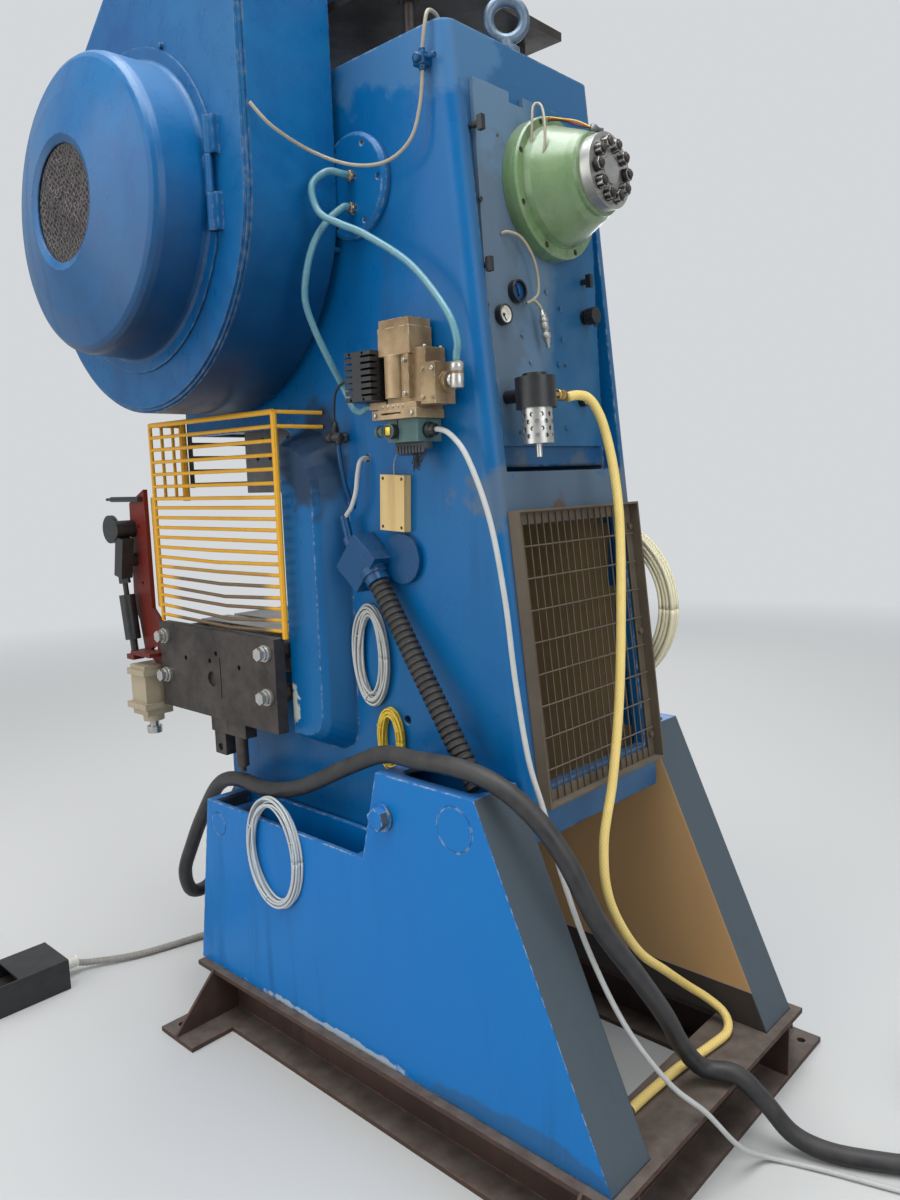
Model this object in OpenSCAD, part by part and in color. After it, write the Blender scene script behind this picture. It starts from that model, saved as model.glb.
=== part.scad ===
// Open back mechanical stamping press on a welded beam base
// X runs to the operator's right, Y from front to back, Z up, origin on the floor
// between the four anchor holes

/* [Base] */
// Height of the base beams
base_h = 160; // [140:5:180]
// Flange width of the base beams
beam_w = 160; // [140:5:180]
// Flange thickness of the base beams
flange_t = 13; // [8:1:18]
// Web thickness of the base beams
web_t = 8; // [6:1:12]
// Distance between the centres of the front and rear beams
beam_span = 1280; // [1240:5:1320]
// Distance between the centres of the two side beams
side_span = 720; // [700:5:740]
// Full length of the front and rear beams
foot_len = 1142; // [1100:2:1200]
// Distance between the anchor holes across the press
anchor_span = 1050; // [1000:5:1080]
// Distance of the anchor holes from the web of their beam
anchor_off = 45; // [35:1:55]
// Diameter of the anchor holes
anchor_d = 22; // [14:1:30]

/* [Legs] */
// Distance between the inner faces of the legs
leg_gap = 554; // [550:1:560]
// Width of each leg across the press
leg_w = 140; // [120:5:150]
// Plate thickness of the legs
leg_wall = 12; // [8:1:16]
// Height of the front part of a leg above the base
leg_low = 505; // [480:5:530]
// Height of the rear part of a leg above the base
leg_high = 726; // [700:2:750]
// Hexagon width of the clamp bolts
clamp_af = 46; // [36:1:55]
// Diameter of the flush rear pins
pin_d = 100; // [80:2:110]
// Diameter of the flush front pins
front_pin_d = 65; // [50:1:80]

/* [Frame] */
// Width of the press frame
frame_w = 534; // [520:2:544]
// Height of the frame top above the floor
frame_top = 2494; // [2440:2:2540]
// Thickness of the frame sides
side_t = 45; // [35:1:55]
// Height of the bed table above the floor
bed_top = 1035; // [1020:1:1050]
// Thickness of the bed table
bed_t = 90; // [70:2:110]
// Height of the throat between bed and head
throat_h = 655; // [620:5:680]
// Distance from the slide centre to the throat wall
throat_reach = 277; // [270:1:290]
// Height of the raised throat pads above the frame sides
pad_h = 80; // [60:2:90]

/* [Drive] */
// Height of the crankshaft above the floor
crank_z = 2210; // [2190:2:2230]
// Distance of the slide centre in front of the origin
slide_y = 593; // [585:1:600]
// Travel of the slide
stroke = 80; // [60:2:90]
// Length of the connecting rod between its centres
rod_len = 450; // [440:2:460]
// Diameter of the crankshaft journals
shaft_d = 120; // [100:2:130]
// Diameter of the eccentric
ecc_d = 240; // [220:2:250]
// Outer diameter of the flywheel
wheel_d = 860; // [820:5:880]
// Width of the flywheel rim
wheel_w = 170; // [150:2:180]
// Number of drive belts
belts = 3; // [1:1:4]
// Outer diameter of the motor pulley
pulley_d = 216; // [200:2:230]
// Diameter of the flywheel end of the housing
housing_d = 950; // [940:2:960]
// Depth of the flywheel housing across the press
housing_w = 250; // [240:2:260]
// Diameter of the round door
door_d = 752; // [740:2:760]
// Diameter of the dome of the door
dome_d = 684; // [670:2:690]
// Depth of the dome of the door
dome_h = 188; // [180:1:200]
// Diameter of the motor body
motor_d = 310; // [280:5:310]

/* [Slide and bolster] */
// Width of the slide across the press
slide_w = 300; // [280:2:320]
// Depth of the slide from front to back
slide_l = 300; // [280:2:310]
// Height of the slide
slide_h = 360; // [350:2:380]
// Height of the slide face above the floor at the top of its travel
slide_z = 1520; // [1500:2:1530]
// Thickness of the bolster plate
bolster_t = 110; // [90:2:120]
// Depth of the bolster plate from front to back
bolster_l = 530; // [520:2:534]
// Width of the tee slot mouths
slot_w = 22; // [14:1:28]

/* [Side plate and guard] */
// Length of the dark side plate
feed_l = 560; // [550:2:580]
// Height of the dark side plate
feed_h = 248; // [230:2:260]
// Thickness of the dark side plate
feed_t = 33; // [25:1:40]
// Length of the bars that carry the side plate
bar_l = 100; // [95:1:120]
// Diameter of the bars that carry the side plate
bar_d = 46; // [36:1:50]
// Diameter of the guard rods
rod_d = 10; // [8:1:12]
// Distance between the upper guard rods
upper_pitch = 35; // [30:1:36]
// Distance between the lower guard rods
lower_pitch = 28.5; // [24:0.5:29]

/* [Rear side] */
// Width of the rear panel
panel_w = 420; // [400:2:430]
// Height of the rear panel
panel_h = 770; // [740:2:780]
// Thickness of the rear panel
panel_t = 12; // [8:1:14]
// Outer diameter of the bell housing flange
bell_d = 310; // [290:2:330]
// Length of the bell housing
bell_l = 148; // [130:2:170]
// Width of the grille frame
grille_w = 480; // [460:2:490]
// Height of the grille frame
grille_h = 650; // [630:2:660]
// Leg of the grille frame angle
angle_l = 30; // [25:1:35]
// Wires side by side in the grille
grille_cols = 17; // [8:1:20]
// Wires above each other in the grille
grille_rows = 8; // [4:1:12]
// Diameter of the grille wires
wire_d = 4; // [3:0.5:5]

/* [Hidden] */
$fn = 64;
eps = 0.01;
// gap between fixed parts that fit in each other, and between parts that run
fit = 0.3;
run = 0.05;

// heights and faces that several pieces share
side_x = frame_w / 2;
hollow_x = side_x - side_t;
leg_in = leg_gap / 2;
leg_out = leg_in + leg_w;
pad_x = side_x + pad_h;
cen_y = -slide_y;
throat_y = cen_y + throat_reach;
head_bottom = bed_top + throat_h;
head_front = cen_y - 267;
table_front = cen_y - 267;
bed_front = -733;
top_t = 34;
partition_t = 40;
throw = stroke / 2;
rod_end_z = crank_z + throw - rod_len;
bolster_z = bed_top + bolster_t;

// the rear edge of the frame sides leans back towards the floor
rear_y = 405;
rear_z = 819;
rear_top_y = 213;
rear_tilt = atan((rear_y - rear_top_y) / (frame_top - rear_z));
function rear_at(z) = rear_y - (z - rear_z) * tan(rear_tilt);

// wall behind the rear panel, set back at its foot
wall_y = 265;
wall_z = 1613;
wall_tilt = 2.9;
recess_x = 226;
recess_z = 1556;
function wall_at(z) = wall_y - (z - wall_z) * tan(wall_tilt);

// fastening points of the legs, as [y, z]
clamp_at = [89, 785];
pin_at = [310, 809];
front_pin_at = [-596, 602];
clamp_d = 30;
spacer_d = 130;

// belt drive, all belts share the flywheel grooves
belt_w = 16;
belt_t = 12;
belt_pitch = 25;
belt_x = 415;
groove_t = belt_t + 2;
groove_gap = 0.5;
wheel_x = 330;
motor_y = -300;
motor_z = 2800;
housing_x = 290;
housing_t = 5;
housing_top_d = 360;
wheel_belt_r = wheel_d / 2 - groove_t + groove_gap;
pulley_belt_r = pulley_d / 2 - groove_t + groove_gap;

// door of the flywheel housing
door_x = housing_x + housing_w + fit;
door_t = 5;
door_hole = 262;
door_bevel = 298;
shoulder = 48;
hinge_d = 18;
hinge_pin = 8;
hinge_y = cen_y + 357;
hinge_x = door_x + door_t + hinge_d / 2 + 0.6;
hinge_z = 2106;
knuckle_l = 80;

// dark side plate beside the die space
feed_x = side_x + bar_l;
feed_z = 905;
feed_bolt_y = 245;
feed_bolt_z = [95, 210];
guard_x = feed_x + 8;
guard_top = 1722;
guard_back = -295;
guard_front = -887;

// turns a flat Y, Z outline into a plate from x0 that is len thick
module along_x(x0, len) {
    translate([x0, 0, 0]) rotate([90, 0, 90]) linear_extrude(len) children();
}

// round bar along X between x0 and x1
module bar_x(x0, x1, y, z, d) {
    translate([x0, y, z]) rotate([0, 90, 0]) cylinder(d = d, h = x1 - x0);
}

// round bar along Y between y0 and y1
module bar_y(y0, y1, x, z, d) {
    translate([x, y0, z]) rotate([-90, 0, 0]) cylinder(d = d, h = y1 - y0);
}

// straight rod between two points, with few sides
module rod(a, b, d, sides = 8) {
    v = b - a;
    l = norm(v);
    translate(a) rotate([0, acos(v.z / l), atan2(v.y, v.x)]) cylinder(d = d, h = l, $fn = sides);
}

// box from its low corner to its high corner
module span(a, b) {
    translate(a) cube(b - a);
}

// hexagon head with its flats af apart, standing along Z
module hex_head(af, h) {
    cylinder(d = af / cos(30), h = h, $fn = 6);
}

// material that fills an inner corner with a radius, quadrant given by sx and sy
module corner_fill(x, y, r, sx, sy) {
    difference() {
        translate([x + (sx < 0 ? -r : -1), y + (sy < 0 ? -r : -1)]) square(r + 1);
        translate([x + sx * r, y + sy * r]) circle(r);
    }
}

// flat outline round two wheels of radius r1 and r2, the second one at the motor
module belt_outline(r1, r2) {
    d = [motor_y - cen_y, motor_z - crank_z];
    lean = acos((r1 - r2) / norm(d));
    a = atan2(d.y, d.x);
    p = [for (s = [-1, 1]) [cos(a + s * lean), sin(a + s * lean)]];
    q1 = r1 - 0.05;
    q2 = r2 - 0.05;
    translate([cen_y, crank_z]) {
        circle(r1, $fn = 96);
        translate(d) circle(r2);
        polygon([q1 * p[0], d + q2 * p[0], d + q2 * p[1], q1 * p[1]]);
    }
}

// smooth points along a route, about step apart, through each route point
function spline(p, step) = [
    for (i = [0 : len(p) - 2])
        let(a = p[max(i - 1, 0)], b = p[i], c = p[i + 1], d = p[min(i + 2, len(p) - 1)],
            n = max(1, round(norm(c - b) / step)))
        for (k = [0 : n - 1])
            let(t = k / n)
            0.5 * (2 * b + (c - a) * t + (2 * a - 5 * b + 4 * c - d) * t * t
                + (3 * b - a - 3 * c + d) * t * t * t),
    p[len(p) - 1]];
function unit(v) = v / norm(v);

// round tube swept along a route
module sweep(route, d, step, sides = 8) {
    p = spline(route, step);
    n = len(p);
    t = [for (i = [0 : n - 1]) unit(p[min(i + 1, n - 1)] - p[max(i - 1, 0)])];
    side = abs(t[0].z) > 0.9 ? [1, 0, 0] : [0, 0, 1];
    u = [for (i = 0, w = unit(side - (side * t[0]) * t[0]); i < n;
        i = i + 1, w = i < n ? unit(w - (w * t[i]) * t[i]) : w) w];
    pts = [for (i = [0 : n - 1], k = [0 : sides - 1])
        p[i] + d / 2 * (cos(360 * k / sides) * u[i] + sin(360 * k / sides) * cross(t[i], u[i]))];
    skin = [for (i = [0 : n - 2], k = [0 : sides - 1])
        let(a = i * sides + k, b = i * sides + (k + 1) % sides)
        [a, a + sides, b + sides, b]];
    polyhedron(pts, concat(skin, [[for (k = [0 : sides - 1]) k],
        [for (k = [0 : sides - 1]) n * sides - 1 - k]]), convexity = 6);
}

// one wide flange beam along Y, standing on the floor
module side_beam() {
    l = beam_span + beam_w;
    for (z = [0, base_h - flange_t])
        translate([-beam_w / 2, -l / 2, z]) cube([beam_w, l, flange_t]);
    translate([-web_t / 2, -l / 2, 0]) cube([web_t, l, base_h]);
}

// cross beam with its top flange cut back and its web ends cut off on a slope
module cross_beam() {
    top_len = side_span + beam_w;
    translate([-foot_len / 2, -beam_w / 2, 0]) cube([foot_len, beam_w, flange_t]);
    translate([-top_len / 2, -beam_w / 2, base_h - flange_t]) cube([top_len, beam_w, flange_t]);
    translate([0, web_t / 2, 0]) rotate([90, 0, 0]) linear_extrude(web_t)
        polygon([[-foot_len / 2, 0], [foot_len / 2, 0], [foot_len / 2, flange_t + 6],
            [top_len / 2, base_h], [-top_len / 2, base_h], [-foot_len / 2, flange_t + 6]]);
}

module base_frame() {
    color("#3a2f2b") difference() {
        union() {
            for (s = [-1, 1]) translate([s * side_span / 2, 0, 0]) side_beam();
            for (s = [-1, 1]) translate([0, s * beam_span / 2, 0]) cross_beam();
        }
        for (sx = [-1, 1], sy = [-1, 1])
            translate([sx * anchor_span / 2, sy * (beam_span / 2 + anchor_off), -1])
                cylinder(d = anchor_d, h = flange_t + 2);
    }
}

// side outline of a leg, grown inwards by the wall where t is above 0
module leg_outline(t = 0) {
    low = base_h + leg_low;
    high = base_h + leg_high;
    foot = t > 0 ? -t : 0;
    polygon([[-731 + 1.05 * t, base_h + foot], [-646 + 1.05 * t, low - t], [12 + t, low - t],
        [69 + t, high - t], [368 - t, high - t], [697 - 1.15 * t, base_h + foot]]);
}

// folded plate shell, open at the foot and along its low front top
module leg() {
    difference() {
        along_x(leg_in, leg_w) leg_outline();
        along_x(leg_in + leg_wall, leg_w - 2 * leg_wall) leg_outline(leg_wall);
        span([leg_in + leg_wall, -620, base_h + leg_low - 20],
            [leg_out - leg_wall, -20, base_h + leg_low + 1]);
        hull() for (y = [150, 320])
            translate([leg_in + leg_w / 2, y, base_h + leg_high - leg_wall - 1])
                cylinder(d = 80, h = leg_wall + 2, $fn = 32);
        for (b = [[clamp_at, clamp_d], [pin_at, pin_d], [front_pin_at, front_pin_d]])
            bar_x(leg_in - 1, leg_out + 1, b[0][0], b[0][1], b[1] + 2 * fit);
    }
}

module leg_right() { color("#0b6bb8") leg(); }

module leg_left() { color("#0b6bb8") mirror([1, 0, 0]) leg(); }

module leg_fasteners() {
    deep = side_x - side_t + 8;
    washer = 65;
    color("#3f6f9f") for (m = [0, 1]) mirror([m, 0, 0]) {
        bar_x(deep, leg_out + 6, clamp_at[0], clamp_at[1], clamp_d);
        bar_x(leg_out, leg_out + 6, clamp_at[0], clamp_at[1], washer);
        translate([leg_out + 5.9, clamp_at[0], clamp_at[1]]) rotate([0, 90, 0]) rotate(15)
            hex_head(clamp_af, 20);
        bar_x(deep, leg_out + 0.5, pin_at[0], pin_at[1], pin_d);
        bar_x(deep, leg_out + 0.5, front_pin_at[0], front_pin_at[1], front_pin_d);
    }
}

// side outline of the C shaped frame with filleted throat corners
module frame_outline() {
    polygon([[bed_front, 520], [bed_front, 800], [table_front, bed_top - 135],
        [table_front, bed_top], [throat_y, bed_top], [throat_y, head_bottom],
        [head_front, head_bottom], [head_front, frame_top], [rear_at(frame_top), frame_top],
        [rear_y, rear_z], [398, 745], [200, 715], [-500, 520]]);
    corner_fill(throat_y, bed_top, 11, -1, 1);
    corner_fill(throat_y, head_bottom, 110, -1, -1);
}

// raised pad beside the throat, tapered towards the frame side
module throat_pad(grow) {
    r = 120 + grow;
    back = -197 + grow;
    low = 900 - grow;
    high = 1640 + grow;
    polygon([for (a = [0 : 15 : 90]) [back - r + r * cos(a), high - r + r * sin(a)],
        [throat_y, high], [throat_y, low],
        for (a = [-90 : 18 : 0]) [back - 70 + 70 * cos(a), low + 70 + 70 * sin(a)]]);
}

module press_frame() {
    round_r = 35;
    far = 1400;
    bearing_d = shaft_d + 30 + 2 * fit;
    color("#0b6bb8") difference() {
        union() {
            intersection() {
                along_x(-side_x, frame_w) frame_outline();
                translate([0, rear_y, rear_z]) rotate([rear_tilt, 0, 0]) translate([0, 0, -700])
                    linear_extrude(2800) union() {
                        translate([-side_x, -far]) square([frame_w, far - round_r]);
                        translate([-side_x + round_r, -far]) square([frame_w - 2 * round_r, far]);
                        for (s = [-1, 1])
                            translate([s * (side_x - round_r), -round_r]) circle(round_r);
                    }
            }
            for (m = [0, 1]) mirror([m, 0, 0]) {
                hull() {
                    along_x(side_x - 5, 1) throat_pad(47);
                    along_x(pad_x - 18, 1) throat_pad(14);
                    along_x(pad_x - 1, 1) throat_pad(0);
                }
                for (b = [clamp_at, pin_at, front_pin_at])
                    bar_x(side_x - 1, leg_in - fit, b[0], b[1], spacer_d);
            }
        }
        frame_hollows();
        for (m = [0, 1]) mirror([m, 0, 0]) {
            bar_x(hollow_x - 60, side_x + 20, cen_y, crank_z, bearing_d);
            for (b = [[clamp_at, clamp_d], [pin_at, pin_d], [front_pin_at, front_pin_d]])
                bar_x(hollow_x + 8 - fit, side_x + 20, b[0][0], b[0][1], b[1] + 2 * fit);
        }
        latch_holes();
        bar_x(side_x - 20, side_x + 1, 28, 970, 22);
        bar_x(side_x - 20, side_x + 1, -76, 1599, 18);
        // recess behind the rear panel
        along_x(-recess_x, 2 * recess_x) polygon([[wall_at(2381), 2381], [wall_at(recess_z), recess_z],
            [480, recess_z], [480, 2381]]);
        // rear window and slug opening
        translate([0, rear_y, rear_z]) rotate([rear_tilt, 0, 0])
            span([-205, -60, 45], [205, 20, 625]);
        span([-120, cen_y - 100, bed_top - bed_t - 1], [120, cen_y + 100, bed_top + 1]);
    }
}

// inside of the column, bed and head
module frame_hollows() {
    bed_low = bed_top - bed_t;
    roof = frame_top - top_t;
    part_y = throat_y + partition_t;
    difference() {
        union() {
            along_x(-hollow_x, 2 * hollow_x) polygon([[bed_front + side_t, 400],
                [bed_front + side_t, bed_low], [part_y, bed_low], [part_y, roof],
                [rear_at(roof) - 26, roof], [wall_at(1600) - 25, 1600], [288, 1540], [372, 830],
                [372, 400]]);
            span([-hollow_x, head_front + 30, head_bottom - 1], [hollow_x, throat_y, roof]);
            span([-190, head_front - 1, head_bottom + 90], [190, head_front + 40, roof - 40]);
        }
        for (m = [0, 1]) mirror([m, 0, 0])
            bar_x(hollow_x - 42, hollow_x + 1, cen_y, crank_z, 240);
    }
}

module head_cover() {
    w = 440;
    z0 = head_bottom + 60;
    z1 = frame_top - 50;
    color("#0b6bb8") difference() {
        span([-w / 2, head_front - 12, z0], [w / 2, head_front, z1]);
        for (sx = [-1, 1], z = [z0 + 20, (z0 + z1) / 2, z1 - 20])
            bar_y(head_front - 13, head_front - 8, sx * (w / 2 - 18), z, 14);
    }
}

// places children on the wall behind the rear panel, x across, z up the wall, y outwards
module on_wall(x = 0, y = 0, z = 0) {
    translate([0, wall_y, wall_z]) rotate([wall_tilt, 0, 0]) translate([x, y, z]) children();
}

// turns children that stand along Z so that they point to the rear
module to_rear() {
    rotate([-90, 0, 0]) children();
}

bell_at = [-25, 577];
bell_top_d = 176;
bell_flange_t = 38;

module rear_panel() {
    notch_w = 50;
    screws = [[-6, 353], [-58, 320], [93, 247], [-61, 249], [68, 189], [-40, 190], [-60, 43]];
    color("#5f8fb8") difference() {
        on_wall() union() {
            translate([-panel_w / 2, fit, 0]) cube([panel_w, panel_t, panel_h]);
            for (s = screws) translate([s[0], fit, s[1]]) to_rear() cylinder(d = 13, h = panel_t + 4, $fn = 6);
        }
        on_wall(40, -1, panel_h - 22) cube([notch_w, panel_t + 5, 30]);
        latch_holes();
        on_wall(0, -1, 0) for (g = gauges) translate([g[0], 0, g[1]]) to_rear()
            cylinder(d = g[2] - 6 + 2 * fit, h = panel_t + 3);
    }
}

// latch positions on the panel edge, as [x, z]
latches = [[218, 668], [218, 380], [-155, 393]];
latch_stem = 9;
latch_deep = 14;

// holes that the latch stems turn in, through the panel and into the wall
module latch_holes() {
    for (at = latches) on_wall(at[0], -latch_deep - 1, at[1]) to_rear()
        cylinder(d = latch_stem + 2 * run, h = latch_deep + panel_t + 2);
}

// wing latch on its stem
module wing_latch(at) {
    color("#15171b") on_wall(at[0], 0, at[1]) to_rear() {
        translate([0, 0, -latch_deep]) cylinder(d = latch_stem, h = latch_deep + panel_t + 20);
        translate([0, 0, panel_t + 2 * fit]) cylinder(d = 14, h = 16);
        translate([-6, -15, panel_t + 15]) cube([12, 30, 14]);
    }
}

module latch_upper() { wing_latch(latches[0]); }

module latch_lower() { wing_latch(latches[1]); }

module latch_far() { wing_latch(latches[2]); }

// gauges and sight ring on the panel, as [x, z, diameter]
gauges = [[164, 283, 44], [-128, 112, 34], [110, 339, 50]];

module panel_gauges() {
    color("#1c1e22") for (g = gauges) on_wall(g[0], 0, g[1]) to_rear() difference() {
        union() {
            cylinder(d = g[2] - 6, h = panel_t + 4);
            translate([0, 0, panel_t + 2 * fit]) cylinder(d = g[2], h = 16);
        }
        translate([0, 0, panel_t + 8]) cylinder(d = g[2] - 8, h = 20);
    }
}

module gauge_needle() {
    g = gauges[0];
    color("#101010") on_wall(g[0], panel_t + 8 + fit, g[1]) to_rear() {
        cylinder(d = 6, h = 3);
        rotate(35) translate([-0.9, -4, 0]) cube([1.8, 18, 1.4]);
    }
}

module regulator_knob() {
    ribs = 12;
    color("#15171b") on_wall(-157, panel_t + 2 * fit, 310) to_rear() difference() {
        union() {
            cylinder(d = 26, h = 12);
            translate([0, 0, 12]) cylinder(d = 40, h = 24);
            cylinder(d = 34, h = 6);
        }
        for (i = [0 : ribs - 1]) rotate(i * 360 / ribs) translate([21, 0, 16]) cylinder(d = 5, h = 30);
    }
}

// stepped bell casting bolted to the panel, tapering towards the rear
module bell_housing() {
    r = bell_d / 2;
    rt = bell_top_d / 2;
    screws = 8;
    color("#5f8f5f") on_wall(bell_at[0], panel_t + 2 * fit, bell_at[1]) to_rear() difference() {
        rotate_extrude($fn = 96) polygon([[0, 0], [r, 0], [r, bell_flange_t - 4],
            [r - 4, bell_flange_t], [r - 22, bell_flange_t], [r - 26, bell_flange_t + 18],
            [rt + 10, bell_l - 22], [rt, bell_l - 10], [rt, bell_l], [0, bell_l]]);
        for (i = [0 : screws - 1]) rotate(i * 360 / screws + 22) translate([r - 12, 0, bell_flange_t - 12])
            cylinder(d = 14, h = 20);
    }
}

// place of the lifting eye on the frame top
eye_at = [20, 180];

module bell_flange() {
    bolts = 10;
    d = 160;
    t = 28;
    color("#c8c8c4") on_wall(bell_at[0], panel_t + 2 * fit + bell_l, bell_at[1]) to_rear() {
        cylinder(d = d, h = t);
        translate([0, 0, t - eps]) cylinder(d = 58, h = 5);
        for (i = [0 : bolts - 1]) rotate(i * 360 / bolts) translate([56, 0, t - eps]) {
            hex_head(24, 15);
        }
    }
}

module lifting_eye() {
    ring = 108;
    bar = 26;
    color("#33465c") translate([eye_at[0], eye_at[1], frame_top]) {
        cylinder(d = 60, h = 14);
        cylinder(d = 34, h = 30);
        translate([0, 0, ring / 2 + 22]) rotate([90, 0, 135]) rotate_extrude($fn = 48)
            translate([(ring - bar) / 2, 0]) circle(d = bar, $fn = 24);
    }
}

// filter axis stands off the panel
filter_at = [160, 105];
filter_off = 92;
filter_d = 88;

module filter_head() {
    port_z = 20;
    body_h = 66;
    color("#1d1f23") on_wall(filter_at[0], 0, filter_at[1]) {
        translate([0, filter_off, -body_h / 2]) difference() {
            union() {
                cylinder(d = filter_d, h = body_h);
                translate([0, 0, body_h - eps]) cylinder(d = 54, h = 8);
                translate([-filter_d / 2 - 6, 0, port_z + 12]) rotate([0, 90, 0])
                    cylinder(d = 36, h = 30);
            }
            translate([0, 0, -1]) cylinder(d = filter_d - 20, h = 12);
        }
        translate([0, panel_t + 2 * fit, 0]) to_rear() cylinder(d = 30, h = filter_off - panel_t - 30);
    }
    color("#b08d4a") on_wall(filter_at[0], filter_off, filter_at[1])
        translate([-filter_d / 2 - 6, 0, -1]) rotate([0, -90, 0]) {
            hex_head(26, 20);
            cylinder(d = 17, h = 45);
            translate([0, 0, 28]) cylinder(d = 24, h = 24);
        }
}

// bowl guard with rows of round holes round the clear bowl
module filter_bowl() {
    h = 86;
    rows = 4;
    cols = 10;
    wall = 2.5;
    color("#c8cacc") on_wall(filter_at[0], filter_off, filter_at[1] - 33) {
        difference() {
            translate([0, 0, -h + 10]) cylinder(d = filter_d - 20 - 2 * fit, h = h);
            translate([0, 0, -h + 10 + wall]) cylinder(d = filter_d - 20 - 2 * fit - 2 * wall, h = h);
            for (i = [0 : rows - 1], k = [0 : cols - 1])
                rotate(k * 360 / cols + (i % 2) * 180 / cols) translate([0, 0, -h + 26 + i * 15])
                    rotate([0, 90, 0]) cylinder(d = 10, h = filter_d, $fn = 12);
        }
        translate([0, 0, -h + 11]) cylinder(d = filter_d - 30, h = h - 6);
        translate([0, 0, -h - 18]) cylinder(d = 14, h = 30);
    }
}

// angle iron frame round the rear window
module grille_frame() {
    t = 5;
    bolt = 14;
    color("#4a3f38") translate([0, rear_y, rear_z]) rotate([rear_tilt, 0, 0]) translate([0, fit, 6]) {
        difference() {
            translate([-grille_w / 2, 0, 0]) cube([grille_w, angle_l, grille_h]);
            translate([-grille_w / 2 + t, t, t]) cube([grille_w - 2 * t, angle_l, grille_h - 2 * t]);
            translate([-grille_w / 2 + angle_l, -1, angle_l])
                cube([grille_w - 2 * angle_l, angle_l, grille_h - 2 * angle_l]);
        }
        for (sx = [-1, 1], z = [60, grille_h / 2, grille_h - 60])
            translate([sx * (grille_w / 2 - 17), t - eps, z]) to_rear() hex_head(bolt, 8);
    }
}

// welded wire mesh, the upright wires behind the level ones
module grille_mesh() {
    w = grille_w - 16;
    h = grille_h - 16;
    y0 = 5 + fit + wire_d / 2 + 0.1;
    dip = 0.3;
    cols = grille_cols + 1;
    rows = grille_rows + 1;
    color("#6a6258") translate([0, rear_y, rear_z]) rotate([rear_tilt, 0, 0]) translate([0, fit, 14]) {
        for (i = [1 : grille_cols]) translate([-w / 2 + i * w / cols, y0, 0])
            cylinder(d = wire_d, h = h, $fn = 6);
        for (i = [1 : grille_rows]) translate([-w / 2, y0 + wire_d * 0.87 - dip, i * h / rows])
            rotate([0, 90, 0]) cylinder(d = wire_d, h = w, $fn = 6);
    }
}

// double valve bolted to the frame side, low front corner of its base
valve_at = [42, 1678];

module valve_body() {
    x = side_x + fit;
    y = valve_at[0];
    z = valve_at[1];
    color("#b39a63") {
        difference() {
            span([x, y, z], [x + 88, y + 138, z + 20]);
            span([x + 70, y + 30, z + 10], [x + 89, y + 92, z + 14]);
            for (dy = [12, 126]) bar_x(x + 76, x + 89, y + dy, z + 10, 9);
        }
        span([x, y + 14, z + 19], [x + 82, y + 134, z + 34]);
        span([x + 40, y - 34, z + 26], [x + 62, y + 20, z + 42]);
        span([x + 4, y + 30, z + 33], [x + 66, y + 150, z + 148]);
        span([x + 8, y + 18, z + 137], [x + 78, y + 115, z + 196]);
        span([x + 10, y + 20, z + 195.9], [x + 76, y + 113, z + 214]);
        translate([x + 58, y + 52, z + 46]) cylinder(d = 52, h = 92);
        span([x + 65, y + 98, z + 44], [x + 80, y + 112, z + 136]);
        span([x + 20, y + 149, z + 26], [x + 82, y + 191, z + 112]);
        for (h = [[104, 122], [104, 52]]) bar_x(x + 79, x + 85, y + h[0], z + h[1], 9);
        for (h = [[156, 40], [156, 98], [184, 40]]) bar_x(x + 81, x + 87, y + h[0], z + h[1], 9);
        bar_y(y + 190, y + 204, x + 48, z + 70, 44);
    }
    color("#c8c9c8") {
        bar_y(y + 203, y + 228, x + 50, z + 72, 24);
        translate([x + 58, y + 232, z + 54]) cylinder(d = 28, h = 53);
        bar_y(y + 226, y + 234, x + 56, z + 72, 26);
    }
}

// slotted silencer in front of the valve
module valve_silencer() {
    x = side_x + fit + 44;
    y = valve_at[0] - 68;
    z = valve_at[1] + 44;
    ribs = 7;
    slot_h = 5;
    w = 60;
    l = 86;
    color("#2b2d31") difference() {
        span([x, y, z], [x + w, y + l - fit, z + 108]);
        for (i = [0 : ribs - 1]) {
            slot_z = z + 10 + i * 14;
            translate([x + 34, y + 54, slot_z]) cube([w, l, slot_h]);
            translate([x + 34, y - 1, slot_z]) cube([w, 26, slot_h]);
        }
        for (dy = [18, 60], dz = [4, 104]) bar_x(x + w - 6, x + w + 1, y + dy, z + dz, 7);
    }
}

// wiring box under the valve
module valve_box() {
    x = side_x + fit;
    y = valve_at[0] + 33;
    z = valve_at[1] - 50;
    color("#4b6358") {
        difference() {
            span([x, y, z], [x + 73, y + 95, z + 50 - fit]);
            span([x + 66, y + 30, z + 6], [x + 74, y + 34, z + 50]);
        }
        translate([x + 30, y + 2, z - 14]) cube([22, 92, 14.1]);
    }
    color("#17181b") {
        bar_x(x + 72.9, x + 92, y + 20, z + 24, 32);
        bar_y(y - 30, y + 5, x + 60, z + 26, 16);
        bar_y(y - 38, y - 14, x + 66, z + 26, 26);
        bar_y(y + 94.9, y + 104, x + 43, z + 24, 34);
        bar_y(y + 103.9, y + 118, x + 43, z + 24, 26);
    }
}

// round cover with the two hose fittings
manifold_at = [-76, 2218];
manifold_d = 232;
manifold_t = 20;
hose_a_z = 2236;
hose_b_z = 2166;
hose_y = -66;

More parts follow.
